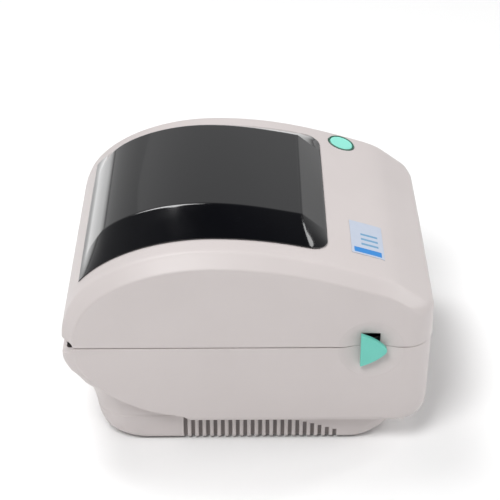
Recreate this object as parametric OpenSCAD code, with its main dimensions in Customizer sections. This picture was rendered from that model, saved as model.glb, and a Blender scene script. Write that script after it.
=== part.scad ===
// Desktop label printer with a lift-up cover, a smoked window and a sliding roll cradle.
// The origin is under the middle of the printer, on the surface that it stands on.
// The front, where labels leave, faces -Y. The hinge is at +Y. All sizes are in mm.

/* [Casing] */
// Width over the two flat side faces
body_w = 178; // [172:1:186]
// Depth from the front face to the rear lip
body_d = 215; // [208:1:222]
// Height of the parting plane above the table
part_z = 72.4; // [70:0.2:78]
// Height of the cover's long bevel edge above the parting plane
cover_rise = 60.3; // [56:0.1:66]
// Extra height of the cover's middle over its bevel edges
crown_h = 2; // [0.5:0.1:4]
// Height of the upright front of the cover
front_h = 21.6; // [18:0.2:26]
// Wall thickness of the moulded shells
wall = 2.5; // [2:0.1:3]
// Gap between cover and base
seam = 0.6; // [0.4:0.1:1]
// Radius of the upright front corners
front_r = 18; // [12:0.5:22]
// Softness of the edge over the upright front
edge_soft = 4; // [2:0.5:6]
// Softness of the crease between the front slope and the roof
crease_soft = 5; // [2:0.5:6]
// Width of the bevel along the cover's side edges
bevel_w = 8; // [5:0.5:12]
// Depth of that bevel
bevel_drop = 6.8; // [4:0.2:9]
// Height of the rear lip over the parting plane
lip_up = 3.2; // [2:0.1:4]
// Depth of the sloping underside of the rear lip
lip_in = 7; // [5:0.5:8]

/* [Plinth and vents] */
// Height of the rubber feet
foot_h = 3.7; // [3:0.1:5]
// Radius of the rubber feet
foot_r = 6; // [4:0.5:8]
// Gap between the table and the lowest edge of the casing
skirt_z = 2; // [1:0.1:2.5]
// Height of the ledge over the plinth
ledge_z = 18; // [15:0.5:22]
// Inset of the plinth under the side faces
plinth_in = 7; // [4:0.5:9]
// Number of vent slots on each side
vent_count = 21; // [10:1:22]
// Width of one vent slot
vent_gap = 2.2; // [1.5:0.1:2.6]
// Width of one rib between the slots
vent_rib = 2.26; // [1.5:0.01:2.5]
// Distance of the first slot behind the middle
vent_back = 38.6; // [30:0.2:42]
// Thickness of the bottom plate
plate_t = 2.5; // [2:0.1:3]

/* [Window] */
// Distance of the window from the side faces
win_in = 20.5; // [19:0.5:24]
// Width of the window's sloped flank
win_flank = 20.5; // [16:0.5:24]
// Height of the window over the cover's bevel edge
win_rise = 12.4; // [9:0.2:15]
// Thickness of the window
win_t = 2.2; // [1.8:0.1:2.6]
// Corner radius of the window's front foot
win_r = 11; // [6:0.5:14]
// Height of the window's rim
win_rim = 0.9; // [0.6:0.1:1.5]
// Width of the seat that the window overlaps
win_seat = 3; // [2:0.5:5]

/* [Hinge] */
// Diameter of the hinge rod
rod_d = 4; // [3:0.5:4.5]
// Distance of the hinge axis from the rear lip
hinge_in = 7.5; // [7.5:0.1:8.5]
// Height of the hinge axis over the parting plane
hinge_up = 5.6; // [5:0.1:6.5]
// Radius of the knuckles round the rod
knuckle_r = 4.1; // [3.8:0.1:4.2]
// Thickness of the hinge arms of the cover
arm_t = 3.5; // [3:0.1:4.5]
// Depth of the hinge arms under the cover
arm_h = 11; // [8:0.5:14]

/* [Feed button] */
// Diameter of the button
button_d = 15; // [12:0.5:18]
// Distance of the button from the side face
button_side = 20; // [19:0.5:22]
// Distance of the button from the front face
button_in = 47; // [44:0.5:50]
// Travel of the button
button_travel = 1; // [0.6:0.1:1.5]
// Width of the light ring round the button
ring_w = 0.9; // [0.6:0.1:1.5]
// Gap between the button and its ring
button_gap = 0.3; // [0.3:0.05:0.5]

/* [Latch] */
// Height of the triangular pull
pull_h = 22; // [18:0.5:24]
// Length of the triangular pull
pull_l = 15.3; // [13:0.1:17]
// Thickness of the pull
pull_t = 3; // [2.5:0.1:3.5]
// Distance of the pull's straight edge from the front face
pull_in = 42.8; // [40:0.2:46]
// Radius of the finger dish
dish_r = 17; // [15:0.5:18]
// Depth of the finger dish
dish_depth = 3.4; // [3:0.1:3.6]
// Diameter of the latch shaft
latch_d = 5; // [4:0.5:6]
// Thickness of the latch arms
latch_t = 3; // [2.5:0.1:3.2]

/* [Print mechanism] */
// Diameter of the platen roller
platen_d = 16; // [14:0.5:17]
// Gap between the platen's rubber and the side frames
platen_side = 9.8; // [8.8:0.1:11]
// Diameter of the platen's shaft
spindle_d = 6; // [5:0.5:6.5]
// Distance of the platen's axis from the front face
platen_in = 17.5; // [16:0.5:19]
// Depth of the platen's axis under the parting plane
platen_down = 6.4; // [6:0.1:8]
// Gap between the platen and the print head
head_gap = 0.4; // [0.3:0.05:0.5]
// Thickness of the steel side frames
frame_t = 1.5; // [1.2:0.1:2]
// Distance of the side frames from the side faces
frame_in = 22.2; // [21:0.1:23]
// Tooth size of the gears
gear_m = 0.8; // [0.8:0.05:0.85]
// Teeth of the platen gear
platen_teeth = 24; // [24:4:24]
// Teeth of the idler gear
idler_teeth = 32; // [32:4:32]
// Teeth of the motor pinion
motor_teeth = 14; // [14:1:14]
// Width of the gears
gear_w = 5; // [4:0.5:6]
// Side of the square motor
motor_w = 35; // [33:0.5:36]
// Length of the motor
motor_l = 30; // [24:1:34]

/* [Media bay] */
// Width of the platen's rubber beyond the label stock on each side
media_margin = 3; // [2:0.5:7]
// Diameter of the largest roll
roll_d = 100; // [90:1:102]
// Diameter of the roll's core
core_d = 24; // [20:0.5:30]
// Thickness of the roll holders
holder_t = 3; // [2.5:0.1:3.5]
// Thickness of the cradle
cradle_t = 2.5; // [2:0.1:3]
// Tooth size of the racks
rack_m = 1; // [0.8:0.05:1]
// Teeth of the pinion between the racks
rack_teeth = 12; // [12:1:14]
// Height of the slot for stock from behind
slot_h = 6; // [5:0.5:7]

/* [Electronics] */
// Distance of the main board from the side faces
board_side = 33; // [31:1:38]
// Gap between the motor and the main board
board_front = 19.5; // [18:0.5:30]
// Height of the main board over the bottom plate
board_up = 13.35; // [12.8:0.05:13.5]
// Thickness of the boards
board_t = 1.6; // [1.2:0.1:2]
// Width of the square data socket
usb_w = 12; // [11:0.5:14]
// Height of the square data socket
usb_h = 10.8; // [10:0.2:12]
// Width of the power inlet
inlet_w = 9; // [8:0.5:11]
// Width of the power switch's rocker
rocker_w = 15; // [12:0.5:16]
// Height of the power switch's rocker
rocker_h = 9; // [8:0.5:10]

/* [Hidden] */
$fn = 48;

// Half sizes of the casing and the inner widths that follow it, then the overrun of cuts,
// the lap of joined bodies, the least step and the kinds of gap
half_w = body_w / 2;
half_d = body_d / 2;
frame_x = half_w - frame_in;
platen_l = 2 * (frame_x - platen_side);
media_w = platen_l - 2 * media_margin;
win_w = body_w - 2 * win_in;
win_flat_w = win_w - 2 * win_flank;
button_x = half_w - button_side;
board_w = body_w - 2 * board_side;
over = 1;
lap = 0.5;
hair = 0.25;
fit = 0.05;
clear = 0.35;
seat = 0.1;

// Colours
shell_grey = [0.87, 0.85, 0.84];
inner_grey = [0.35, 0.36, 0.38];
dark_grey = [0.16, 0.16, 0.17];
steel = [0.72, 0.73, 0.75];
mint = [0.46, 0.82, 0.72];
ring_green = [0.25, 0.42, 0.36];
smoke = [0.08, 0.08, 0.10];
board_green = [0.10, 0.35, 0.20];
nylon = [0.92, 0.90, 0.84];
ceramic = [0.85, 0.82, 0.75];
ribbon_grey = [0.80, 0.82, 0.85];
label_blue = [0.85, 0.92, 0.97];

// Cover profile over the middle: Y as shares of the depth, Z as shares of the cover's rise
roof_front_shares = [[-0.386, 0.662], [-0.228, 0.842], [-0.093, 1], [0.093, 1]];
roof_back_shares = [[0.093, 1], [0.270, 1], [0.419, 0.740], [0.469, 0.431]];
roof_rear_shares = [[0.469, 0.431], [0.4805, 0.36], [0.5, 0.225], [0.5, 0.053]];
// Steps along the three stretches of the cover profile
roof_steps = [6, 7, 4];
// Share of the front stretch that rounds the crease over the slope
crease_share = 0.09;
// Window profile: Y as shares of the depth, Z as shares of the rise with the window's own
pane_front_shares = [[-0.1474, 0.897], [-0.056, 0.952], [0.023, 1], [0.116, 1]];
pane_back_shares = [[0.116, 1], [0.233, 1], [0.344, 0.883], [0.391, 0.745]];
pane_rear_shares = [[0.391, 0.745], [0.419, 0.642], [0.442, 0.518], [0.451, 0.4036]];
// Front foot of the window as a share of the depth
pane_foot_share = -0.214;
// Where the rings across the cover lie between the corner's start and the side face
corner_shares = [0.3, 0.56, 0.8, 0.94, 1];
crown_shares = [0, 0.36, 0.72, 1];
// Base levels: height as a share of the parting height, then shares of the plinth's inset,
// of the half depth at the front, of the half depth where the flat side ends, of the inset
// again, of the front radius for the rear corner, and of the half depth at the rear
base_level_shares = [
  [0, 1.13, -0.712, 0.56, 0, 0.90, 0.712],
  [0.010, 1.04, -0.735, 0.56, 0, 0.94, 0.755],
  [0.034, 1, -0.760, 0.56, 0, 0.94, 0.795],
  [0.068, 1, -0.788, 0.56, 0, 0.94, 0.818],
  [0.115, 1, -0.813, 0.56, 0, 0.94, 0.832],
  [0.175, 1, -0.845, 0.56, 0, 0.94, 0.842],
  [0.226, 1, -0.872, 0.30, 0, 0.94, 0.847],
  [0.229, 0.53, -0.935, 0.30, 0.50, 0.94, 0.8475],
  [0.246, 0.18, -0.962, 0.325, 0.86, 0.94, 0.849],
  [0.290, 0, -0.980, 0.357, 1, 0.94, 0.854],
  [0.334, 0, -0.986, 0.502, 1, 0.94, 0.860],
  [0.400, 0, -0.989, 0.618, 0.97, 0.92, 0.872],
  [0.486, 0, -0.991, 0.725, 0.90, 0.76, 0.889],
  [0.583, 0, -0.992, 0.800, 0.70, 0.50, 0.918],
  [0.654, 0, -0.993, 0.841, 0.56, 0.44, 0.941],
  [0.757, 0, -0.994, 0.895, 0.28, 0.38, 0.979],
  [0.873, 0, -0.995, 0.925, 0.11, 0.36, 1],
  [1, 0, -0.9955, 0.936, 0.04, 0.35, 1]
];
corner_steps = 6;
rear_steps = 5;
round_share = 0.35;

function clamp01(v) = max(0, min(1, v));
function mix(a, b, t) = a + (b - a) * t;
function bezier(p, t) =
  pow(1 - t, 3) * p[0] + 3 * pow(1 - t, 2) * t * p[1] + 3 * (1 - t) * t * t * p[2] + pow(t, 3) * p[3];
function bezier_slope(p, t) =
  pow(1 - t, 2) * (p[1] - p[0]) + 2 * (1 - t) * t * (p[2] - p[1]) + t * t * (p[3] - p[2]);
function unit(v) = v / norm(v);
function reversed(a) = [for (i = [len(a) - 1:-1:0]) a[i]];
function to_cover(s) = [for (p = s) [p[0] * body_d, part_z + p[1] * cover_rise]];
function to_pane(s) = [for (p = s) [p[0] * body_d, part_z + p[1] * (cover_rise + win_rise)]];

// Points of the cover profile as [y, z, inward y, inward z]
roof_front = to_cover(roof_front_shares);
roof_back = to_cover(roof_back_shares);
roof_rear = to_cover(roof_rear_shares);
// Front slope between the upright front and the start of the roof, with soft ends
slope_y = roof_front[0][0];
slope_z = roof_front[0][1];
slope = (slope_z - part_z - front_h) / (slope_y + half_d);
soft_steps = 3;
function inward(p, t) = let (d = unit(bezier_slope(p, t))) [d[1], -d[0]];
function crease(t) =
  let (a = [slope_y - crease_soft, slope_z - crease_soft * slope], c = bezier(roof_front, crease_share))
  concat(pow(1 - t, 2) * a + 2 * t * (1 - t) * [slope_y, slope_z] + t * t * c, [0, -1]);
roof = [
  for (i = [0:2]) crease(i / 3),
  for (i = [0:roof_steps[0] - 1]) let (t = mix(crease_share, 1, i / roof_steps[0]))
    concat(bezier(roof_front, t), [0, -1]),
  for (i = [0:roof_steps[1] - 1]) let (t = i / roof_steps[1])
    concat(bezier(roof_back, t), inward(roof_back, t)),
  for (i = [0:roof_steps[2]]) let (t = i / roof_steps[2])
    concat(bezier(roof_rear, t), inward(roof_rear, t))
];
// Height of the cover's bevel edge at a depth, in fine steps
fine = 12;
cover_line = [
  [-half_d, part_z + front_h],
  for (i = [0:2]) [crease(i / 3)[0], crease(i / 3)[1]],
  for (i = [0:fine - 1]) bezier(roof_front, mix(crease_share, 1, i / fine)),
  for (i = [0:fine - 1]) bezier(roof_back, i / fine),
  for (i = [0:fine - 1]) bezier(roof_rear, i / fine)
];
function crown_at(x) = crown_h * (1 - pow(x / half_w, 2));
function cover_top(x, y) = lookup(y, cover_line) + crown_at(x);

// One ring of the cover at a station across, moved in by w
function corner_back(x, w) =
  let (r = front_r - w, dx = abs(x) - (half_w - front_r))
  dx <= 0 ? 0 : r - sqrt(max(0, r * r - dx * dx));
function bevel_at(x, w) = bevel_drop * clamp01((abs(x) - (half_w - w - bevel_w)) / bevel_w);
slant = sqrt(1 + slope * slope);
lip_slope = (lip_up - seam / 2) / lip_in;
lip_slant = sqrt(1 + lip_slope * lip_slope);
function lip_z(y) = part_z + lip_up + (y - half_d) * lip_slope;
function lip_y(in) = min(half_d - lip_in - wall, half_d - in - lap);
function cover_ring(x, w, bottom) =
  let (
    back = corner_back(x, w), y0 = -half_d + w + back, in = w + bevel_at(x, w),
    up = crown_at(x), edge_z = part_z + front_h + (w + back) * slope - w * slant - bevel_at(x, w) + up
  )
  concat(
    [[x, y0, bottom]],
    [for (i = [0:soft_steps]) let (t = i / soft_steps) [
      x, y0 + edge_soft * t * t,
      edge_z - edge_soft * pow(1 - t, 2) + edge_soft * slope * t * t
    ]],
    [for (p = roof) [x, p[0] + p[2] * in, p[1] + p[3] * in + up * clamp01((half_d - p[0]) / hinge_in)]],
    w > 0 ? [[x, half_d - in, lip_z(half_d - in) + w * lip_slant], [x, lip_y(in), lip_z(lip_y(in)) + w * lip_slant]] : [],
    [[x, w > 0 ? lip_y(in) : half_d - lip_in, bottom]]
  );
function stations(w) =
  let (
    inner = half_w - front_r, outer = half_w - w,
    right = [for (s = crown_shares) s * inner],
    edge = [for (s = corner_shares) mix(inner, outer, s)]
  )
  concat(
    [for (i = [len(edge) - 1:-1:0]) -edge[i]], [for (i = [len(right) - 1:-1:1]) -right[i]],
    right, edge
  );

// A solid through rings of equal count whose first and last points lie in one plane
module ring_solid(rings) {
  n = len(rings[0]);
  m = len(rings);
  mid = floor(n / 2);
  points = [for (r = rings) for (p = r) p];
  faces = concat(
    [for (i = [0:m - 2]) for (j = [0:n - 2]) [i * n + j, i * n + j + 1, (i + 1) * n + j + 1]],
    [for (i = [0:m - 2]) for (j = [0:n - 2]) [i * n + j, (i + 1) * n + j + 1, (i + 1) * n + j]],
    [[for (j = [0:n - 1]) (mid - j + n) % n]],
    [[for (j = [0:n - 1]) (m - 1) * n + (mid + j) % n]],
    [concat([for (i = [0:m - 1]) i * n], [for (i = [m - 1:-1:0]) i * n + n - 1])]
  );
  polyhedron(points = points, faces = faces);
}

// A solid through closed loops stacked on each other, with flat ends
module loop_solid(loops) {
  n = len(loops[0]);
  m = len(loops);
  points = [for (r = loops) for (p = r) p];
  faces = concat(
    [for (i = [0:m - 2]) for (j = [0:n - 1]) [i * n + j, (i + 1) * n + (j + 1) % n, i * n + (j + 1) % n]],
    [for (i = [0:m - 2]) for (j = [0:n - 1]) [i * n + j, (i + 1) * n + j, (i + 1) * n + (j + 1) % n]],
    [[for (j = [0:n - 1]) j]],
    [[for (j = [n - 1:-1:0]) (m - 1) * n + j]]
  );
  polyhedron(points = points, faces = faces);
}

// A bent sheet through rings whose second half runs back under the first
module sheet_solid(rings) {
  n = len(rings[0]);
  m = len(rings);
  h = n / 2;
  points = [for (r = rings) for (p = r) p];
  faces = concat(
    [for (i = [0:m - 2]) for (j = [0:n - 1]) [i * n + j, i * n + (j + 1) % n, (i + 1) * n + (j + 1) % n]],
    [for (i = [0:m - 2]) for (j = [0:n - 1]) [i * n + j, (i + 1) * n + (j + 1) % n, (i + 1) * n + j]],
    [for (j = [0:h - 2]) [n - 1 - j, n - 2 - j, j + 1, j]],
    [for (j = [0:h - 2]) [(m - 1) * n + j, (m - 1) * n + j + 1, m * n - 2 - j, m * n - 1 - j]]
  );
  polyhedron(points = points, faces = faces);
}

module box(low, high) {
  translate(low) cube(high - low);
}
// Draws a YZ outline and pulls it along X from x0 to x1
module along_x(x0, x1) {
  translate([x0, 0, 0]) rotate([90, 0, 90]) linear_extrude(height = x1 - x0) children();
}
module rod_x(x0, x1, y, z, r) {
  translate([x0, y, z]) rotate([0, 90, 0]) cylinder(h = x1 - x0, r = r);
}
module both_sides() {
  children();
  mirror([1, 0, 0]) children();
}
function arc(cy, cz, r, a0, a1, n) = [for (i = [0:n]) let (a = mix(a0, a1, i / n)) [cy + r * cos(a), cz + r * sin(a)]];

// Hinge
hinge_y = half_d - hinge_in;
hinge_z = part_z + hinge_up;
rod_r = rod_d / 2;
arm_x = frame_x + frame_t + over;
sweep_r = norm([hinge_in, hinge_up - lip_up]) + clear;

// Latch: pull, shaft, dish and striker
pull_y = -half_d + pull_in;
pull_z = part_z - over;
pull_sunk = 0.8;
pull_back = half_w - pull_sunk;
dish_share = 0.4;
dish_y = pull_y - pull_l * dish_share;
dish_deep = 4;
dish_boss = 1.6;
dish_ball_r = (dish_r * dish_r + dish_depth * dish_depth) / (2 * dish_depth);
latch_in = 23.5;
latch_y = -half_d + latch_in;
latch_z = part_z / 2;
latch_r = latch_d / 2;
lever_x1 = half_w - dish_depth - dish_boss - clear;
lever_x0 = lever_x1 - latch_t;
slot_len = 11.5;
slot_up = 9.1;
slot_down = 11;
stem_h = 7;
striker_r = 1.5;
striker_in = 12.5;
striker_up = 13;
striker_y = pull_y - striker_in;
striker_z = part_z + striker_up;
hook_arm = 5;

// Cover parts: exit slot, roll window, button and fixings
exit_half = platen_l / 2 + over;
exit_up = 9.6;
pane_y0 = pane_foot_share * body_d;
pane_y1 = pane_rear_shares[3][0] * body_d;
button_y = -half_d + button_in;
button_z = cover_top(button_x, button_y);
button_tilt = atan((cover_top(button_x, button_y + lap) - cover_top(button_x, button_y - lap)) / (lap + lap));
button_r = button_d / 2;
ring_r = button_r + button_gap + ring_w;
ring_l = 5;
ring_flange = 1;
ring_flange_z = -(wall + 3 * clear);
button_body = 3;
stem_r = 2;
button_stem = 6;
key_h = 3.5;
key_w = 6;
key_gap = button_travel + clear;
button_lift = 0.5;
button_board_z = -(button_body + button_stem + key_gap + key_h - button_lift);
button_board_w = 16;
button_board_d = 28;
post_r = 2;

// Print mechanism
platen_r = platen_d / 2;
platen_y = -half_d + platen_in;
platen_z = part_z - platen_down;
spindle_r = spindle_d / 2;
frame_x1 = frame_x + frame_t;
gear_room = 2;
gear_x0 = -(frame_x1 + gear_room);
gear_x1 = gear_x0 - gear_w;
platen_gear_r = gear_m * platen_teeth / 2;
idler_r = gear_m * idler_teeth / 2;
motor_gear_r = gear_m * motor_teeth / 2;
motor_back = 28;
motor_down = 28;
motor_y = platen_y + motor_back;
motor_z = platen_z - motor_down;
// The idler lies where its two centre distances meet
span = norm([motor_y - platen_y, motor_z - platen_z]);
reach_a = platen_gear_r + idler_r;
reach_b = idler_r + motor_gear_r;
along = (span * span + reach_a * reach_a - reach_b * reach_b) / (2 * span);
aside = sqrt(max(0, reach_a * reach_a - along * along));
line_dir = [motor_y - platen_y, motor_z - platen_z] / span;
idler_y = platen_y + along * line_dir[0] - aside * line_dir[1];
idler_z = platen_z + along * line_dir[1] + aside * line_dir[0];
bush_t = 2.5;
bush_r = spindle_r + bush_t;
bush_w = 4;
stud_r = 2;
head_z = platen_z + platen_r + head_gap;
head_half = media_w / 2;
head_t = 3.2;
head_front = 5;
head_back = 10;
head_lift = 1;
head_flat = 1;
head_y0 = platen_y - head_front;
head_y1 = platen_y + head_back;
pivot_back = 24;
pivot_up = 18;
pivot_y = platen_y + pivot_back;
pivot_z = head_z + pivot_up;
pivot_r = 1.5;
bracket_in = 2;
bracket_half = head_half - bracket_in;
sheet_t = 1.2;
carrier_out = 4;
carrier_half = head_half + carrier_out;
carrier_up = 22;
carrier_t = 5;
carrier_front = 2;
carrier_back = 12;
ear_t = 4;
ear_r = 4.5;
spring_back = 4;
spring_post = 3;
carrier_z0 = head_z + carrier_up;
carrier_z1 = carrier_z0 + carrier_t;
carrier_y0 = platen_y - carrier_front;
carrier_y1 = pivot_y + carrier_back;
ear_x0 = carrier_half - ear_t;
spring_y = platen_y + spring_back;
sensor_x = [10, 22];
sensor_d = 8;
sensor_h = 5;
spring_x = 30;
spring_r = 3.5;
spring_wire = 0.9;

// Media bay
roll_r = roll_d / 2;
roll_room = 2;
cradle_r = roll_r + roll_room;
cradle_in = 79.5;
cradle_y = half_d - cradle_in;
cradle_up = 9.6;
cradle_z = part_z + cradle_up;
holder_x = media_w / 2;
tray_t = 2.45;
tray_x1 = frame_x - clear;
tray_x0 = tray_x1 - tray_t;
rack_r = rack_m * rack_teeth / 2;
rack_pitch = PI * rack_m;
rack_h = 3;
rack_z1 = cradle_z - cradle_r - cradle_t - clear;
rack_z0 = rack_z1 - rack_h;
rack_w = 6;
neck_w = 5;
hub_l = 8;
slot_drop = 20;
slot_z = part_z - slot_drop;
slot_reach = 20;
guide_in = 24;
guide_out = 9.8;
guide_y0 = half_d - guide_in;
path_gap = 4;
path_drop = 3.4;
path_y = platen_y + platen_r + path_gap;
path_z = part_z - path_drop;

// Base: plate, board and its sockets
plate_z0 = foot_h;
plate_z1 = plate_z0 + plate_t;
board_in = 24.5;
board_z = plate_z1 + board_up;
board_y1 = half_d - board_in;
board_y0 = motor_y + motor_w / 2 + board_front;
standoff_r = 3;
screw_r = 1.3;
screw_head_r = 2.8;
screw_head_h = 1.8;
screw_bite = 4;
pan_h = 1.4;
column_r = 4.5;
column_x = half_w - plinth_in - wall - column_r + lap;
column_y_shares = [-0.60, 0.56];
port_z = board_z + board_t;
port_in = 15.4;
port_y1 = half_d - port_in;
port_deep = 12;
usb_side_in = 45;
usb_x = half_w - usb_side_in;
usb_l = 16;
inlet_in = 26;
inlet_x = usb_x - inlet_in;
inlet_l = 14;
inlet_r = 3.2;
inlet_pin_r = 1;
inlet_deep = 10;
switch_side_in = 49;
switch_x = switch_side_in - half_w;
switch_up = 2.5;
switch_in = 3;
switch_z = port_z + rocker_h / 2 + switch_up;
switch_y = port_y1 - switch_in;
rim_w = 2;
rocker_tilt = 8;
rocker_pin_r = 1;
switch_face = 2.6;
rocker_well = 5;
rocker_gap = 0.3;
rocker_side = 0.4;
rocker_tip = 2.8;
rocker_mid = 1.7;
rocker_keel = 2.4;

// Spur gear outline with a tooth at angle zero
tooth_root_share = 0.28;
tooth_tip_share = 0.11;
root_share = 1.15;
tip_share = 0.85;
function gear_outline(n, m) =
  let (
    root = m * (n / 2 - root_share), tip = m * (n / 2 + tip_share),
    ends = [[-tooth_root_share, root], [-tooth_tip_share, tip], [tooth_tip_share, tip], [tooth_root_share, root]]
  )
  [for (i = [0:n - 1]) for (e = ends) let (a = 360 / n * (i + e[0])) [e[1] * cos(a), e[1] * sin(a)]];

// Angles in the YZ plane from gear to gear, and the turns that set the teeth in mesh
to_idler = atan2(idler_z - platen_z, idler_y - platen_y);
to_motor = atan2(motor_z - idler_z, motor_y - idler_y);
idler_turn = to_idler + 180 + 180 / idler_teeth;
idler_phase = (to_motor - idler_turn) * idler_teeth / 360;
motor_turn = to_motor + 180 - (0.5 - idler_phase) * 360 / motor_teeth;

module spur(n, turn, y, z, bore) {
  translate([gear_x1, y, z]) rotate([90, 0, 90]) linear_extrude(height = gear_w)
    difference() {
      rotate([0, 0, turn]) polygon(gear_outline(n, gear_m));
      circle(r = bore);
    }
}

// Latch slot and dish, cut from both shells
module dish_cut() {
  both_sides() {
    translate([half_w + dish_ball_r - dish_depth, dish_y, pull_z]) sphere(r = dish_ball_r, $fn = 120);
    box([half_w - dish_depth - dish_deep, pull_y - slot_len, part_z - slot_down],
        [half_w + over, pull_y - clear, part_z + slot_up]);
  }
}
module dish_boss_disc() {
  both_sides() rod_x(half_w - dish_depth - dish_boss, half_w - wall / 2, dish_y, pull_z, dish_r + over);
}

module cover_shell() {
  color(shell_grey) difference() {
    union() {
      difference() {
        ring_solid([for (x = stations(0)) cover_ring(x, 0, part_z + seam / 2)]);
        ring_solid([for (x = stations(wall)) cover_ring(x, wall, part_z - over)]);
      }
      intersection() {
        dish_boss_disc();
        box([-half_w, -half_d, part_z + seam / 2], [half_w, half_d, part_z + 2 * dish_r]);
      }
      carrier_columns(post_r + over, carrier_z1 + seat);
      button_posts();
    }
    carrier_columns(screw_r, carrier_z1 - over);
    window_hole();
    dish_cut();
    both_sides() box([tray_x0 - clear, hinge_y - sweep_r - knuckle_r, part_z - over],
                     [arm_x + arm_t + clear, hinge_y + knuckle_r + clear, hinge_z]);
    box([-exit_half, -half_d - over, part_z - over], [exit_half, -half_d + wall + over, part_z + exit_up]);
    on_button() translate([0, 0, -2 * ring_l]) cylinder(h = 3 * ring_l, r = ring_r + seat);
  }
}

// Columns under the cover's front that take the head carrier's screws
spot_side = 6;
spot_front = 8;
spot_back = 4;
column_spots = [
  [carrier_half - spot_side, carrier_y0 + spot_front],
  [carrier_half - spot_side, carrier_y1 - spot_back]
];
module carrier_columns(r, z0) {
  both_sides() for (s = column_spots)
    translate([s[0], s[1], z0])
      cylinder(h = cover_top(s[0], s[1]) - wall - z0 + (r > screw_r ? lap : -over), r = r);
}

module window_hole() {
  x = win_w / 2 - win_seat;
  r = win_r - win_seat;
  y0 = pane_y0 + win_seat;
  y1 = pane_y1 - win_seat;
  translate([0, 0, part_z + front_h]) linear_extrude(height = cover_rise) {
    translate([-x, y0 + r]) square([2 * x, y1 - y0 - r]);
    translate([-x + r, y0]) square([2 * (x - r), y1 - y0]);
    for (s = [-1, 1]) translate([s * (x - r), y0 + r]) circle(r = r);
  }
}

// One ring of the window across the printer
pane_front = to_pane(pane_front_shares);
pane_back = to_pane(pane_back_shares);
pane_rear = to_pane(pane_rear_shares);
pane_steps = [5, 5, 4];
pane = [
  for (i = [0:pane_steps[0] - 1]) bezier(pane_front, i / pane_steps[0]),
  for (i = [0:pane_steps[1] - 1]) bezier(pane_back, i / pane_steps[1]),
  for (i = [0:pane_steps[2]]) bezier(pane_rear, i / pane_steps[2])
];
function pane_ring(x) =
  let (
    u = clamp01((abs(x) - win_flat_w / 2) / (win_w - win_flat_w) * 2),
    r = win_r, dx = abs(x) - (win_w / 2 - r),
    foot_y = pane_y0 + (dx <= 0 ? 0 : r - sqrt(max(0, r * r - dx * dx))),
    hip_y = max(mix(pane[0][0], pane_y0 + r, u), foot_y + hair),
    stretch = (pane_y1 - hip_y) / (pane_y1 - pane[0][0]),
    top = [
      [foot_y, cover_top(x, foot_y) + win_rim],
      for (p = pane) let (y = pane_y1 - (pane_y1 - p[0]) * stretch, low = cover_top(x, y) + win_rim)
        [y, max(low, mix(p[1], low, u))]
    ],
    under = [for (p = top) [p[0], max(p[1] - win_t, cover_top(x, p[0]) + clear)]]
  )
  concat([for (p = top) [x, p[0], p[1]]], [for (i = [len(top) - 1:-1:0]) [x, under[i][0], under[i][1]]]);
flank_shares = [0, 0.25, 0.5, 0.72, 0.88, 1];
pane_stations = let (a = win_flat_w / 2, b = win_w / 2, flank = [for (s = flank_shares) mix(a, b, s)])
  concat(-reversed(flank), [-a / 2, 0, a / 2], flank);
module window() {
  color(smoke) sheet_solid([for (x = pane_stations) pane_ring(x)]);
}

// Points along the cover's underside, a distance d inside its profile
arm_from = roof_steps[0] + 1;
rib_in = 8;
rib_low = 6.6;
rib_high = 15.6;
knuckle_up = 8.2;
function under_roof(d, from, to) = [for (i = [from:to]) let (p = roof[i]) [p[0] + p[2] * d, p[1] + p[3] * d]];
module cover_frame() {
  top = under_roof(wall + clear, arm_from, len(roof) - 2);
  low = under_roof(wall + clear + arm_h, arm_from, len(roof) - 2);
  rib_y = hinge_y - rib_in;
  color(inner_grey) difference() {
    union() {
      both_sides() along_x(arm_x, arm_x + arm_t) {
        difference() {
          polygon(concat(top, reversed(low)));
          translate([hinge_y, hinge_z - half_d]) square([half_d, half_d]);
        }
        translate([hinge_y, hinge_z]) circle(r = knuckle_r);
        translate([hinge_y - knuckle_r, hinge_z]) square([2 * knuckle_r - over, knuckle_up]);
      }
      box([-arm_x - over, rib_y, hinge_z + rib_low], [arm_x + over, rib_y + wall, hinge_z + rib_high]);
    }
    rod_x(-half_w, half_w, hinge_y, hinge_z, rod_r + fit);
  }
}

module head_carrier() {
  color(inner_grey) difference() {
    union() {
      box([-carrier_half, carrier_y0, carrier_z0], [carrier_half, carrier_y1, carrier_z1]);
      both_sides() along_x(ear_x0, carrier_half) {
        translate([pivot_y, pivot_z]) circle(r = ear_r);
        translate([pivot_y - ear_r, pivot_z]) square([2 * ear_r, carrier_z0 - pivot_z + over]);
      }
      both_sides() translate([spring_x, spring_y, carrier_z0 - spring_post])
        cylinder(h = spring_post + over, r = spring_r - spring_wire - clear);
    }
    rod_x(-half_w, half_w, pivot_y, pivot_z, pivot_r + fit);
    both_sides() for (s = column_spots)
      translate([s[0], s[1], carrier_z0 - over]) cylinder(h = carrier_t + over + over, r = screw_r + seat);
  }
}
module screw(r, l, head_r, head_h) {
  cylinder(h = l, r = r);
  translate([0, 0, -head_h]) cylinder(h = head_h, r = head_r);
}
module carrier_screws() {
  color(steel) both_sides() for (s = column_spots)
    translate([s[0], s[1], carrier_z0]) screw(screw_r - fit, carrier_t + screw_bite, screw_head_r, screw_head_h);
}

// Plain plate where the label sits
label_x = [27 - half_w, 61 - half_w];
label_in = [28.5, 47.5];
label_t = 0.4;
label_steps = 4;
module label_plate() {
  rings = [
    for (i = [0:label_steps]) let (x = mix(label_x[0], label_x[1], i / label_steps))
      let (top = [
        for (j = [0:label_steps]) let (y = -half_d + mix(label_in[0], label_in[1], j / label_steps))
          [x, y, cover_top(x, y) + seat]
      ])
      concat([for (p = top) p + [0, 0, label_t]], reversed(top))
  ];
  color(label_blue) sheet_solid(rings);
}

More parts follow.
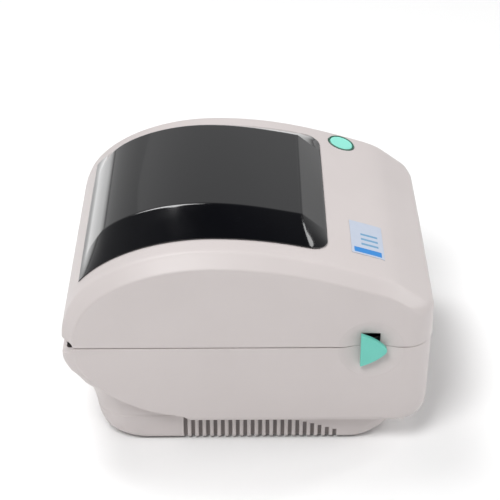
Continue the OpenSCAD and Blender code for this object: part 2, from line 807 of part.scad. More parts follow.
module on_button() {
  translate([button_x, button_y, button_z]) rotate([button_tilt, 0, 0]) children();
}
module button_posts() {
  on_button() for (s = [-1, 1])
    translate([0, s * (button_board_d / 2 - post_r), button_board_z + seat])
      cylinder(h = -button_board_z - wall / 2 - seat, r = post_r);
}
module button_ring() {
  color(ring_green) on_button() difference() {
    union() {
      translate([0, 0, -ring_l]) cylinder(h = ring_l + button_lift, r = ring_r);
      translate([0, 0, ring_flange_z - ring_flange]) cylinder(h = ring_flange, r = ring_r + over);
    }
    translate([0, 0, -2 * ring_l]) cylinder(h = 4 * ring_l, r = button_r + button_gap);
  }
}
module feed_button() {
  color(mint) on_button() {
    translate([0, 0, button_lift - button_body]) cylinder(h = button_body, r = button_r);
    translate([0, 0, button_lift - button_body - button_stem]) cylinder(h = button_stem + seat, r = stem_r);
  }
}
module button_board() {
  color(board_green) on_button() {
    translate([-button_board_w / 2, -button_board_d / 2, button_board_z - board_t])
      cube([button_board_w, button_board_d, board_t]);
    translate([-key_w / 2, -key_w / 2, button_board_z - fit]) cube([key_w, key_w, key_h + fit]);
  }
}

tear_pitch = 2;
tear_tooth = 1.6;
tear_t = 0.8;
tear_low = 2.4;
tear_z = part_z + exit_up - tear_low;
tear_h = 8;
module tear_bar() {
  n = floor(2 * (exit_half - over) / tear_pitch);
  w = n * tear_pitch / 2;
  color(steel) translate([0, -half_d + wall + seat + tear_t, 0]) rotate([90, 0, 0]) linear_extrude(height = tear_t)
    polygon(concat(
      [[-w, tear_z + tear_h]],
      [for (i = [0:n - 1]) for (k = [0, 1]) [-w + (i + k / 2) * tear_pitch, tear_z + (k == 0 ? tear_tooth : 0)]],
      [[w, tear_z + tear_tooth], [w, tear_z + tear_h]]
    ));
}
module latch_strikers() {
  color(steel) both_sides() {
    rod_x(lever_x0 - over, half_w - dish_depth - dish_boss - seat, striker_y, striker_z, striker_r);
  }
}

// Print head that floats under the carrier
module head_bracket() {
  plate = [
    [head_y0, head_z + head_t], [head_y1, head_z + head_t], [pivot_y - pivot_r, pivot_z - pivot_r],
    [pivot_y - pivot_r, pivot_z + pivot_r], [head_y1 - sheet_t, head_z + head_t + sheet_t],
    [head_y0, head_z + head_t + sheet_t]
  ];
  color(steel) difference() {
    union() {
      along_x(-bracket_half, bracket_half) polygon(plate);
      rod_x(-bracket_half, bracket_half, pivot_y, pivot_z, pivot_r + sheet_t);
      both_sides() translate([spring_x, spring_y, head_z + head_t])
        cylinder(h = spring_post + over, r = spring_r - spring_wire - clear);
    }
    rod_x(-half_w, half_w, pivot_y, pivot_z, pivot_r + fit);
  }
}
module print_head() {
  color(ceramic) along_x(-head_half, head_half)
    polygon([
      [head_y0, head_z + head_lift], [platen_y - head_flat, head_z], [platen_y + head_flat, head_z],
      [head_y1, head_z + head_lift],
      [head_y1, head_z + head_t], [head_y0, head_z + head_t]
    ]);
}
module head_pivot() {
  color(steel) rod_x(-carrier_half - over, carrier_half + over, pivot_y, pivot_z, pivot_r);
}
module head_springs() {
  z0 = head_z + head_t + sheet_t + seat;
  color(steel) both_sides() translate([spring_x, spring_y, z0]) difference() {
    cylinder(h = carrier_z0 - z0 - seat, r = spring_r);
    translate([0, 0, -over]) cylinder(h = carrier_z0, r = spring_r - spring_wire);
  }
}
// Flat cable that stands on edge: it leaves the carrier's end and follows the cover's arm
cable_t = 0.8;
cable_w = 8;
cable_over = 2;
cable_from = roof_steps[0] - 1;
cable_to = roof_steps[0] + roof_steps[1] + 2;
module head_cable() {
  d = wall + clear + cable_over;
  x0 = clear - arm_x;
  y0 = carrier_y1 - cable_over;
  z0 = carrier_z0 + cable_t;
  top = concat([[y0, z0 + cable_w]], under_roof(d, cable_from, cable_to));
  low = concat([[y0, z0]], under_roof(d + cable_w, cable_from, cable_to));
  color(ribbon_grey) {
    along_x(x0, x0 + cable_t) polygon(concat(top, reversed(low)));
    box([x0, y0, z0], [-carrier_half - seat, y0 + cable_t, z0 + cable_w]);
  }
}
module media_sensor_top() {
  color(dark_grey) box([sensor_x[0], carrier_y1 - sensor_d, carrier_z0 - sensor_h],
                       [sensor_x[1], carrier_y1 - over, carrier_z0 - seat]);
}

// One outline of the base at a level, moved in by w
function base_loop(s, w, z) =
  let (
    hx = half_w - s[1] * plinth_in - w, y0 = s[2] * half_d + w, r = front_r - w,
    step = s[4] * plinth_in, rc = s[5] * front_r, y1 = s[6] * half_d - w, side = hx - step,
    end_y = min(s[3] * half_d, y1 - rc - over - over),
    bend_y = min(end_y + step / 2 + over, y1 - rc - lap), p = [side, y1 - rc], v = [side - rc, y1],
    k = ([side, y1 - rc * round_share] + [side - rc * round_share, y1]) / 2,
    right = concat(
      [for (i = [0:corner_steps]) let (a = -90 + 90 * i / corner_steps) [hx - r + r * cos(a), y0 + r + r * sin(a)]],
      [[hx, end_y], [side, bend_y]],
      [for (i = [0:rear_steps]) let (t = i / rear_steps) pow(1 - t, 2) * p + 2 * t * (1 - t) * k + t * t * v]
    )
  )
  concat([for (p = right) [p[0], p[1], z]], [for (i = [len(right) - 1:-1:0]) [-right[i][0], right[i][1], z]]);
function level_z(s) = skirt_z + s[0] * (part_z - seam / 2 - skirt_z);
step_from = 7;
groove_drop = 6.8;
module base_shell() {
  top = len(base_level_shares) - 1;
  color(shell_grey) difference() {
    union() {
      difference() {
        loop_solid([for (s = base_level_shares) base_loop(s, 0, level_z(s))]);
        loop_solid([
          for (i = [0:top]) let (s = base_level_shares[i])
            base_loop(s, wall, i == 0 ? skirt_z - over : level_z(s) + (i == top ? over : (i >= step_from ? wall : 0)))
        ]);
      }
      intersection() {
        dish_boss_disc();
        box([-half_w, -half_d, part_z - 2 * dish_r], [half_w, half_d, part_z - seam / 2]);
      }
      base_columns(column_r, plate_z1 + seat, ledge_z + wall);
      rim();
      box([-tray_x0 + over, hinge_y - sweep_r, part_z - trough_h], [tray_x0 - over, half_d - wall / 2, part_z - seam / 2]);
      both_sides() box([arm_x + arm_t + over, hinge_y - sweep_r, part_z - trough_h],
                       [half_w - 2 * wall, hinge_y + over, part_z - seam / 2]);
    }
    base_columns(screw_r, plate_z1 - over, ledge_z);
    vents();
    dish_cut();
    rod_x(-half_w + over, half_w - over, hinge_y, hinge_z, sweep_r);
    along_x(-half_w - over, half_w + over) polygon([
      [half_d - lip_in, part_z - seam], [half_d + over, part_z - groove_drop], [half_d + over, part_z + over],
      [half_d - lip_in, part_z + over]
    ]);
    box([-exit_half, half_d - slot_reach, slot_z], [exit_half, half_d + over, slot_z + slot_h]);
    ports();
  }
}
// Inner rim that closes the seam, left out at the exit, the dishes and the rear
rim_t = 1.2;
rim_up = 1.2;
rim_low = 5;
rim_foot = 2;
rim_room = 2;
trough_h = 9;
module rim() {
  top = base_level_shares[len(base_level_shares) - 1];
  function flat(w) = [for (p = base_loop(top, w, 0)) [p[0], p[1]]];
  difference() {
    union() {
      translate([0, 0, part_z - rim_low]) linear_extrude(height = rim_low - over) difference() {
        polygon(flat(wall - lap));
        polygon(flat(wall + clear + rim_t));
      }
      translate([0, 0, part_z - rim_foot]) linear_extrude(height = rim_foot + rim_up) difference() {
        polygon(flat(wall + clear));
        polygon(flat(wall + clear + rim_t));
      }
    }
    box([-exit_half - over, -half_d, part_z - 2 * rim_low], [exit_half + over, -half_d / 2, part_z + rim_low]);
    box([-half_w, hinge_y - 2 * sweep_r, part_z - 2 * rim_low], [half_w, half_d, part_z + rim_low]);
    both_sides() box([half_w / 2, dish_y - dish_r - rim_room, part_z - 2 * rim_low],
                     [half_w, dish_y + dish_r + rim_room, part_z + rim_low]);
  }
}
module base_columns(r, z0, z1) {
  both_sides() for (s = column_y_shares) translate([column_x, s * half_d, z0]) cylinder(h = z1 - z0, r = r);
}
vent_under = 0.6;
vent_deep = 7.5;
vent_top = ledge_z - vent_under;
vent_fade_y = -12;
vent_fade_l = 43;
vent_fade_share = 0.78;
vent_fade_power = 1.5;
module vents() {
  pitch = vent_gap + vent_rib;
  both_sides() for (i = [0:vent_count - 1]) {
    y = vent_back - i * pitch;
    s = max(0, (vent_fade_y - (y - vent_gap / 2)) / vent_fade_l);
    top = vent_top - vent_fade_share * (vent_top - plate_z0) * min(1, pow(s, vent_fade_power));
    box([half_w - plinth_in - vent_deep, y - vent_gap, 0], [half_w - plinth_in + wall, y, top]);
  }
}
// Openings for the sockets and the switch in the rear wall
module ports() {
  y0 = port_y1 - port_deep;
  box([usb_x - usb_w / 2 - seat, y0, port_z - seat], [usb_x + usb_w / 2 + seat, half_d, port_z + usb_h + seat]);
  box([inlet_x - inlet_w / 2 - seat, y0, port_z - seat], [inlet_x + inlet_w / 2 + seat, half_d, port_z + usb_h + seat]);
  box([switch_x - rocker_w / 2 - rim_w - seat, y0, switch_z - rocker_h / 2 - rim_w - seat],
      [switch_x + rocker_w / 2 + rim_w + seat, half_d, switch_z + rocker_h / 2 + rim_w + seat]);
}

module bottom_plate() {
  low = base_level_shares[1];
  color(dark_grey) difference() {
    union() {
      translate([0, 0, plate_z0]) linear_extrude(height = plate_t)
        polygon([for (p = base_loop(low, wall + clear, 0)) [p[0], p[1]]]);
      for (s = board_spots()) translate([s[0], s[1], plate_z1 - seat]) cylinder(h = board_z - plate_z1 + seat - fit, r = standoff_r);
    }
    base_columns(screw_r + seat, 0, plate_z1 + over);
    for (s = board_spots()) translate([s[0], s[1], plate_z1]) cylinder(h = board_z, r = screw_r);
  }
}
foot_y_shares = [-0.60, 0.56];
foot_in = 22;
plate_screw_l = 12;
module rubber_feet() {
  color(dark_grey) both_sides() for (s = foot_y_shares)
    translate([half_w - plinth_in - foot_in, s * half_d, 0]) cylinder(h = foot_h - fit, r = foot_r);
}
module plate_screws() {
  color(steel) both_sides() for (s = column_y_shares)
    translate([column_x, s * half_d, plate_z0]) screw(screw_r - fit, plate_screw_l, screw_head_r, foot_h - skirt_z - lap);
}

// Chassis moulding with the cradle, the label path and the hinge posts
tray_gap = 2.5;
tray_y0 = motor_y + motor_w / 2 + tray_gap;
tray_y1 = half_d - 35.5;
tray_heel_y = half_d - 25.5;
tray_heel_z = ledge_z + 8;
tray_back_y = half_d - 22;
tray_drop = 8;
post_up = 2;
cradle_a0 = -152;
cradle_a1 = -38;
cradle_steps = 24;
sensor_back = 6;
sensor_leg = 12;
sensor_sunk = 3.4;
neck_over = 3;
module media_tray() {
  wall_low = [
    [tray_y0, plate_z1 + seat], [tray_y1, plate_z1 + seat], [tray_heel_y, tray_heel_z],
    [tray_back_y, slot_z - rim_foot], [tray_back_y, part_z - tray_drop],
    [hinge_y - knuckle_r, hinge_z - knuckle_r + post_up], [hinge_y, hinge_z], [hinge_y - knuckle_r, hinge_z + over],
    [tray_back_y - tray_drop / 2, part_z - over], [tray_y0, part_z - over]
  ];
  cradle = concat(
    arc(cradle_y, cradle_z, cradle_r, cradle_a0, cradle_a1, cradle_steps),
    arc(cradle_y, cradle_z, cradle_r + cradle_t, cradle_a1, cradle_a0, cradle_steps)
  );
  start = cradle[0];
  color(inner_grey) difference() {
    union() {
      both_sides() along_x(tray_x0, tray_x1) {
        polygon(wall_low);
        translate([hinge_y, hinge_z]) circle(r = knuckle_r);
      }
      along_x(-tray_x0 - over, tray_x0 + over) {
        polygon(cradle);
        polygon([
          [path_y, path_z], [start[0], start[1]], [start[0] - over, start[1] - cradle_t],
          [path_y, path_z - cradle_t]
        ]);
      }
    }
    rod_x(-half_w, half_w, hinge_y, hinge_z, rod_r + fit);
    translate([0, cradle_y, rack_z1]) cylinder(h = cradle_t + over, r = stud_r + fit);
    both_sides() box([neck_w, cradle_y - neck_w / 2 - clear, rack_z0],
                     [tray_x0 - over, cradle_y + neck_w / 2 + clear, cradle_z - cradle_r + neck_over]);
    box([sensor_x[0] - seat, path_y + sensor_back - seat, path_z - 2 * sensor_leg],
        [sensor_x[1] + seat, path_y + sensor_back + sensor_d + seat, path_z + sensor_leg]);
  }
}
module rear_slot_guide() {
  color(inner_grey) difference() {
    box([-exit_half - wall, guide_y0, slot_z - wall], [exit_half + wall, half_d - guide_out, slot_z + slot_h + wall]);
    box([-exit_half, guide_y0 - over, slot_z], [exit_half, half_d, slot_z + slot_h]);
  }
}

// Steel side frame with its bores: outline in YZ
frame_y0 = -half_d + 6;
frame_over = 1.5;
frame_y1 = motor_y + motor_w / 2 - frame_over;
frame_nose = 22;
frame_heel = 28;
frame_low = 8;
frame_drop = 4;
frame_shoulder = 16;
motor_hole_share = 0.37;
motor_spots = [
  for (a = [-1, 1]) [motor_y + a * motor_w * motor_hole_share, motor_z + a * motor_w * motor_hole_share]
];
module side_frame(x0, motor_side) {
  floor_z = plate_z1 + seat;
  color(steel) along_x(x0, x0 + frame_t) difference() {
    polygon([
      [frame_y0, ledge_z + frame_low], [frame_y0 + frame_nose, ledge_z + frame_low],
      [frame_y0 + frame_heel, floor_z], [frame_y1, floor_z], [frame_y1, part_z - frame_drop],
      [platen_y + frame_shoulder, part_z - over], [frame_y0, part_z - over]
    ]);
    translate([platen_y, platen_z]) circle(r = bush_r);
    translate([latch_y, latch_z]) circle(r = latch_r + fit);
    if (motor_side) {
      translate([motor_y, motor_z]) circle(r = pilot_r + over);
      translate([idler_y, idler_z]) circle(r = stud_r);
      for (s = motor_spots) translate(s) circle(r = screw_r + seat);
    }
  }
}
module side_frame_left() {
  side_frame(-frame_x1, true);
}
module side_frame_right() {
  side_frame(frame_x, false);
}
module hinge_rod() {
  color(steel) rod_x(-arm_x - arm_t - over, arm_x + arm_t + over, hinge_y, hinge_z, rod_r);
}

spindle_out = 3;
module platen_shaft() {
  color(steel) rod_x(gear_x1 - over, frame_x1 + spindle_out, platen_y, platen_z, spindle_r);
}
module platen_rubber() {
  color(dark_grey) difference() {
    rod_x(-platen_l / 2, platen_l / 2, platen_y, platen_z, platen_r);
    rod_x(-half_w, half_w, platen_y, platen_z, spindle_r + fit / 2);
  }
}
module platen_gear() {
  color(nylon) spur(platen_teeth, to_idler, platen_y, platen_z, spindle_r + fit / 2);
}
module platen_bushes() {
  color(nylon) both_sides() difference() {
    union() {
      rod_x(frame_x - bush_w + frame_t, frame_x1 + over, platen_y, platen_z, bush_r - fit);
      rod_x(frame_x - over - fit, frame_x - fit, platen_y, platen_z, bush_r + over);
    }
    rod_x(0, half_w, platen_y, platen_z, spindle_r + fit);
  }
}
module idler_gear() {
  color(nylon) spur(idler_teeth, idler_turn, idler_y, idler_z, stud_r + fit);
}
module idler_stud() {
  color(steel) {
    rod_x(gear_x1 - over, -frame_x, idler_y, idler_z, stud_r - fit / 2);
    rod_x(gear_x1 - lap - over, gear_x1 - lap, idler_y, idler_z, stud_r + over);
    rod_x(gear_x0 + lap, -frame_x1, idler_y, idler_z, stud_r + over);
  }
}
rotor_r = 2.5;
pilot_r = 8;
motor_tap = 5;
module motor_body() {
  color(dark_grey) difference() {
    union() {
      box([-frame_x, motor_y - motor_w / 2, motor_z - motor_w / 2] + [fit, 0, 0], [-frame_x + motor_l, motor_y + motor_w / 2, motor_z + motor_w / 2]);
      rod_x(-frame_x1, -frame_x + over, motor_y, motor_z, pilot_r);
    }
    rod_x(-half_w, -frame_x + motor_l / 2, motor_y, motor_z, rotor_r + fit);
    for (s = motor_spots) rod_x(-half_w, -frame_x + motor_tap, s[0], s[1], screw_r);
  }
}
module motor_pinion() {
  color(nylon) {
    spur(motor_teeth, motor_turn, motor_y, motor_z, rotor_r - over);
    rod_x(gear_x1 - lap, -frame_x + motor_l / 2 - over, motor_y, motor_z, rotor_r);
  }
}
module motor_screws() {
  color(steel) for (s = motor_spots)
    translate([-frame_x1, s[0], s[1]]) rotate([0, 90, 0]) screw(screw_r - fit, frame_t + screw_bite, 2 * screw_r, pan_h);
}

module latch_shaft() {
  color(steel) rod_x(-lever_x1, lever_x1, latch_y, latch_z, latch_r);
}
// Rounded triangle of the pull as a YZ outline, straight edge to the rear
pull_bulge_share = 0.092;
pull_tip_share = 0.085;
pull_tip_back_share = 0.048;
pull_nose_share = 0.03;
pull_steps = 8;
pull_tip_steps = 4;
module pull_outline() {
  tip = [pull_y - pull_l, pull_z];
  top = [pull_y, pull_z + pull_h / 2];
  low = [pull_y, pull_z - pull_h / 2];
  tip_up = tip + [pull_l * pull_tip_back_share, pull_h * pull_tip_share];
  tip_low = tip + [pull_l * pull_tip_back_share, -pull_h * pull_tip_share];
  up_mid = (top + tip_up) / 2 + [-pull_h, pull_l] * pull_bulge_share;
  low_mid = (low + tip_low) / 2 + [-pull_h, -pull_l] * pull_bulge_share;
  function quad(a, b, c, t) = pow(1 - t, 2) * a + 2 * t * (1 - t) * b + t * t * c;
  polygon(concat(
    [for (i = [0:pull_steps]) quad(top, up_mid, tip_up, i / pull_steps)],
    [for (i = [1:pull_tip_steps]) quad(tip_up, tip - [pull_l * pull_nose_share, 0], tip_low, i / pull_tip_steps)],
    [for (i = [1:pull_steps]) quad(tip_low, low_mid, low, i / pull_steps)]
  ));
}
neck_share = 0.25;
neck_half = 2;
arm_side = 2;
lever_boss = 3;
hook_back = 3;
nose = 1;
module latch_lever() {
  neck_y = pull_y - slot_len * neck_share;
  hook_y = striker_y - striker_r - clear;
  hook_z = striker_z + striker_r + clear;
  color(mint) {
    along_x(pull_back, pull_back + pull_t) pull_outline();
    difference() {
      union() {
        box([lever_x0, neck_y - neck_half, pull_z - stem_h / 2], [pull_back + seat, neck_y + neck_half, pull_z + stem_h / 2]);
        along_x(lever_x0, lever_x1) {
          translate([latch_y, latch_z]) circle(r = latch_r + lever_boss);
          polygon([
            [latch_y - latch_r - arm_side, latch_z], [latch_y + latch_r + arm_side, latch_z],
            [neck_y + neck_half, pull_z - stem_h], [neck_y + neck_half, pull_z + stem_h / 2],
            [neck_y - hook_back, pull_z + stem_h / 2], [hook_y - nose, pull_z + stem_h],
            [hook_y - nose, hook_z], [hook_y, hook_z + nose], [hook_y - nose, hook_z + nose + nose],
            [hook_y - hook_arm, hook_z], [hook_y - hook_arm, pull_z]
          ]);
        }
      }
      rod_x(0, half_w, latch_y, latch_z, latch_r + fit / 2);
    }
  }
}
module latch_lever_right() {
  latch_lever();
}
module latch_lever_left() {
  mirror([1, 0, 0]) latch_lever();
}
coil_l = 6;
coil_t = 1;
coil_r = latch_r + 1.4;
coil_leg = 16;
module latch_spring() {
  color(steel) difference() {
    union() {
      rod_x(frame_x1 + over, frame_x1 + over + coil_l, latch_y, latch_z, coil_r);
      box([frame_x1 + over, latch_y - coil_r, latch_z - coil_leg], [frame_x1 + over + coil_t, latch_y - coil_r + coil_t, latch_z]);
    }
    rod_x(0, half_w, latch_y, latch_z, coil_r - coil_t);
  }
}

// Roll holders: hub, disc, neck through the cradle and a rack under it
holder_r = 27;
holder_lift = 3;
hub_t = 2;
rack_run = 8;
module rack_bar(y_teeth, y_back, x0, x1) {
  n = floor((x1 - x0) / rack_pitch);
  dir = y_teeth > y_back ? 1 : -1;
  reach = rack_m * tip_share;
  foot = rack_m * root_share;
  first = -floor(-x0 / rack_pitch);
  ends = [
    [-tooth_root_share, -foot], [-tooth_tip_share, reach], [tooth_tip_share, reach], [tooth_root_share, -foot]
  ];
  points = [
    for (i = [first:first + n - 1]) for (e = ends) [(i + e[0]) * rack_pitch, y_teeth + dir * e[1]]
  ];
  translate([0, 0, rack_z0]) linear_extrude(height = rack_h)
    polygon(concat([[points[0][0], y_back]], points, [[points[len(points) - 1][0], y_back]]));
}
module media_holder() {
  rack_y = cradle_y - rack_r;
  x1 = holder_x + holder_t;
  color(dark_grey) difference() {
    union() {
      along_x(holder_x, x1) {
        translate([cradle_y, cradle_z]) circle(r = holder_r);
        translate([cradle_y - holder_r / 2, cradle_z - cradle_r + holder_lift]) square([holder_r, cradle_r]);
        translate([cradle_y - neck_w / 2, rack_z0]) square([neck_w, cradle_r]);
      }
      rod_x(holder_x - hub_l, holder_x + over, cradle_y, cradle_z, core_d / 2);
      box([holder_x, rack_y - rack_w, rack_z0], [x1, cradle_y + neck_w / 2, rack_z1]);
      rack_bar(rack_y, rack_y - rack_w, -rack_run, x1);
    }
    rod_x(holder_x - hub_l - over, x1 + over, cradle_y, cradle_z, core_d / 2 - hub_t);
  }
}
module media_holder_right() {
  media_holder();
}
module media_holder_left() {
  translate([0, 2 * cradle_y, 0]) rotate([0, 0, 180]) media_holder();
}
module rack_pinion() {
  color(nylon) translate([0, cradle_y, rack_z0]) {
    linear_extrude(height = rack_h) rotate([0, 0, 90 + 180 / rack_teeth]) polygon(gear_outline(rack_teeth, rack_m));
    translate([0, 0, rack_h - lap]) cylinder(h = cradle_t + over + clear, r = stud_r);
    translate([0, 0, rack_h + cradle_t + 2 * clear]) cylinder(h = over, r = stud_r + over);
  }
}
module media_sensor_bottom() {
  color(dark_grey) box([sensor_x[0], path_y + sensor_back, path_z - sensor_leg],
                       [sensor_x[1], path_y + sensor_back + sensor_d, path_z - sensor_sunk]);
}

spot_in = 5;
spot_rear = 14;
board_screw_l = 6;
function board_spots() = [
  for (a = [-1, 1], y = [board_y0 + spot_in, board_y1 - spot_rear]) [a * (board_w / 2 - spot_in), y]
];
module main_board() {
  color(board_green) difference() {
    box([-board_w / 2, board_y0, board_z], [board_w / 2, board_y1, board_z + board_t]);
    for (s = board_spots()) translate([s[0], s[1], board_z - over]) cylinder(h = board_t + over + over, r = screw_r + seat);
  }
}
// Blocks on the board: shares of its width and depth at both corners, and their heights
block_shares = [[-0.18, 0.11, 0, 0.30], [-0.40, 0.37, -0.30, 0.52], [0.18, 0.13, 0.39, 0.185]];
block_h = [2, 1.6, 8];
can_shares = [-0.36, -0.25];
can_in = 8;
can_h = 11;
can_r = 4;
module board_parts() {
  z = board_z + board_t + fit;
  color(dark_grey) {
    for (i = [0:2]) let (b = block_shares[i], d = board_y1 - board_y0)
      box([b[0] * board_w, board_y0 + b[1] * d, z], [b[2] * board_w, board_y0 + b[3] * d, z + block_h[i]]);
    for (s = can_shares) translate([s * board_w, board_y0 + can_in, z]) cylinder(h = can_h, r = can_r);
  }
}
module board_screws() {
  color(steel) for (s = board_spots())
    translate([s[0], s[1], board_z + board_t]) mirror([0, 0, 1]) screw(screw_r - fit, board_screw_l, 2 * screw_r, pan_h);
}
usb_side = 1.6;
usb_deep = 9;
module usb_socket() {
  color(steel) difference() {
    box([usb_x - usb_w / 2, port_y1 - usb_l, port_z + fit], [usb_x + usb_w / 2, port_y1, port_z + usb_h]);
    box([usb_x - usb_w / 2 + usb_side, port_y1 - usb_deep, port_z + usb_side],
        [usb_x + usb_w / 2 - usb_side, port_y1 + over, port_z + usb_h - usb_side]);
  }
}
module power_inlet() {
  color(dark_grey) {
    difference() {
      box([inlet_x - inlet_w / 2, port_y1 - inlet_l, port_z + fit], [inlet_x + inlet_w / 2, port_y1, port_z + usb_h]);
      translate([inlet_x, port_y1 + over, port_z + usb_h / 2]) rotate([90, 0, 0]) cylinder(h = inlet_deep, r = inlet_r);
    }
    translate([inlet_x, port_y1 - over, port_z + usb_h / 2]) rotate([90, 0, 0]) cylinder(h = inlet_deep, r = inlet_pin_r);
  }
}

module switch_housing() {
  w = rocker_w / 2;
  h = rocker_h / 2;
  color(dark_grey) translate([switch_x, switch_y, switch_z]) difference() {
    box([-w - rim_w, -port_deep, -h - rim_w], [w + rim_w, switch_face, h + rim_w]);
    box([-w - clear, -rocker_well, -h - clear], [w + clear, switch_face + over, h + clear]);
    cylinder(h = rocker_h + rim_w, r = rocker_pin_r + fit, center = true);
  }
}
module switch_rocker() {
  w = rocker_w / 2 - rocker_gap;
  color(dark_grey) translate([switch_x, switch_y, switch_z]) rotate([0, 0, rocker_tilt]) {
    translate([0, 0, -rocker_h / 2]) linear_extrude(height = rocker_h)
      polygon([
        [-w, rocker_side], [-w, rocker_tip], [0, rocker_mid], [w, rocker_tip], [w, rocker_side],
        [rocker_keel, -rocker_keel], [-rocker_keel, -rocker_keel]
      ]);
    cylinder(h = rocker_h + rim_w - 2 * fit, r = rocker_pin_r, center = true);
  }
}

cover_shell();
window();
cover_frame();
head_carrier();
carrier_screws();
label_plate();
button_ring();
feed_button();
button_board();
tear_bar();
latch_strikers();
head_bracket();
print_head();
head_pivot();
head_springs();
head_cable();
media_sensor_top();
base_shell();
bottom_plate();
rubber_feet();
plate_screws();
media_tray();
rear_slot_guide();
side_frame_left();
side_frame_right();
hinge_rod();
platen_shaft();
platen_rubber();
platen_gear();
platen_bushes();
idler_gear();
idler_stud();
motor_body();
motor_pinion();
motor_screws();
latch_shaft();
latch_lever_left();
latch_lever_right();
latch_spring();
media_holder_left();
media_holder_right();
rack_pinion();
media_sensor_bottom();
main_board();
board_parts();
board_screws();
usb_socket();
power_inlet();
switch_housing();
switch_rocker();
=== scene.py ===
import math

import bmesh
import bpy
from mathutils import Matrix, Vector


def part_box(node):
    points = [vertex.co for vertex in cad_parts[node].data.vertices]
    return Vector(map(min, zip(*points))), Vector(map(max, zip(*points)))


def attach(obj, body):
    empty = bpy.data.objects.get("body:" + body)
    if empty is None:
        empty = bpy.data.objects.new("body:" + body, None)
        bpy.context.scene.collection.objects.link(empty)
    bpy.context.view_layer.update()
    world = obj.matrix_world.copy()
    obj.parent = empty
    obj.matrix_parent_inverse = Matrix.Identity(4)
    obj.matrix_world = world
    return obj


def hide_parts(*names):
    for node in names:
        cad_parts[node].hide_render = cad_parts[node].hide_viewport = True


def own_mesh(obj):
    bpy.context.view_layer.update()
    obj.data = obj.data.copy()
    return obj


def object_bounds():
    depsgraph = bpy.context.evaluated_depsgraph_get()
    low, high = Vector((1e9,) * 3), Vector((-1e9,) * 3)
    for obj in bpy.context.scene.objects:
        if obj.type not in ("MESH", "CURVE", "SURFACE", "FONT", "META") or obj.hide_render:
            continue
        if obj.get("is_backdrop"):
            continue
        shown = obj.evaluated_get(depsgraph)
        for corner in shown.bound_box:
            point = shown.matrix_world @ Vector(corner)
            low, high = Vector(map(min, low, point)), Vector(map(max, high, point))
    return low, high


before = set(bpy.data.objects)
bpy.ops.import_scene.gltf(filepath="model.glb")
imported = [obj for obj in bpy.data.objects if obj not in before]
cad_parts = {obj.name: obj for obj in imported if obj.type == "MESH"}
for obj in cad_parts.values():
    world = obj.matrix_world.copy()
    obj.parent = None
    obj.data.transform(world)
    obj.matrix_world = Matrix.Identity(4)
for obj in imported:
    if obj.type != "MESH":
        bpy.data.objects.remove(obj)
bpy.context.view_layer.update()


# The camera stands off the printer's left side and looks down on it, as the photograph does.
# Its place, tilt and lens come from a fit to the casing's corners.
def in_scene(name, data):
    thing = bpy.data.objects.new(name, data)
    bpy.context.scene.collection.objects.link(thing)
    return thing


sight_down, sight_aside, lean = 0.564345, -0.000132, -0.004615
camera_place, focal_mm, sensor_mm = (-0.811458, -0.001438, 0.596602), 111.753, 36
near_clip, far_clip = 0.05, 30
sight = Vector((math.cos(sight_down) * math.cos(sight_aside), math.cos(sight_down) * math.sin(sight_aside),
                -math.sin(sight_down)))
across = sight.cross(Vector((0, 0, 1))).normalized()
upward = across.cross(sight)
camera_data = bpy.data.cameras.new("camera")
camera_data.sensor_width, camera_data.lens = sensor_mm, focal_mm
camera_data.clip_start, camera_data.clip_end = near_clip, far_clip
camera = in_scene("camera", camera_data)
turned = Matrix((across * math.cos(lean) + upward * math.sin(lean),
                 upward * math.cos(lean) - across * math.sin(lean), -sight)).transposed()
camera.matrix_world = Matrix.Translation(camera_place) @ turned.to_4x4()
bpy.context.scene.camera = camera


# A pale table top under the printer, painted matt white. It is far wider than the printer,
# so that its edge never shows.
def joined(tree, node, sockets):
    """Sets or links the named inputs of a node."""
    for label, value in sockets.items():
        socket = node.inputs[label.replace("_", " ")]
        if isinstance(value, bpy.types.NodeSocket):
            tree.links.new(value, socket)
        else:
            socket.default_value = value
    return node


def placed(tree, kind, settings=(), **sockets):
    """Adds a node with its settings, then sets or links its inputs."""
    node = tree.nodes.new(kind)
    for label, value in dict(settings).items():
        setattr(node, label, value)
    return joined(tree, node, sockets)


def blank(name):
    material = bpy.data.materials.new(name)
    material.use_nodes = True
    return material


def finished(material, **sockets):
    """Sets or links what the material's shader takes."""
    joined(material.node_tree, material.node_tree.nodes["Principled BSDF"], sockets)
    return material


def coated(part, finish):
    """Gives a piece its one finish."""
    part.data.materials.clear()
    part.data.materials.append(finish)
    return part


table_half, table_shade, table_roughness, table_gloss = 6, 0.94, 0.9, 0.1
table_mesh = bpy.data.meshes.new("table_top")
table_corners = ((-1, -1), (1, -1), (1, 1), (-1, 1))
table_mesh.from_pydata([(x * table_half, y * table_half, 0) for x, y in table_corners], [], [(0, 1, 2, 3)])
table_top = in_scene("table_top", table_mesh)
table_paint = finished(blank("table_paint"), Base_Color=(table_shade, table_shade, table_shade, 1),
                       Roughness=table_roughness, Specular_IOR_Level=table_gloss)
coated(table_top, table_paint)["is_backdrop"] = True

# Soft lamps as in a small product studio: one behind the camera, one over the far side, a strip
# and a fill by the front, and a dim back card. Each has its place, the height that it is aimed
# at, its width and height in metres, and its watts.
studio_lamps = {
    "side_lamp": ((-0.85, 0.5, 1.55), 0.06, 0.7, 0.7, 18.5),
    "roof_lamp": ((0.6, 0.55, 1.6), 0.06, 0.6, 0.9, 14),
    "front_strip": ((0.7, -1.35, 1.35), 0.10, 0.22, 1.2, 4),
    "front_fill": ((-0.2, -1.6, 1.1), 0.08, 1.0, 0.8, 10),
    "back_card": ((2.4, 0.1, 1.45), 0.10, 2.2, 0.8, 0.7)}
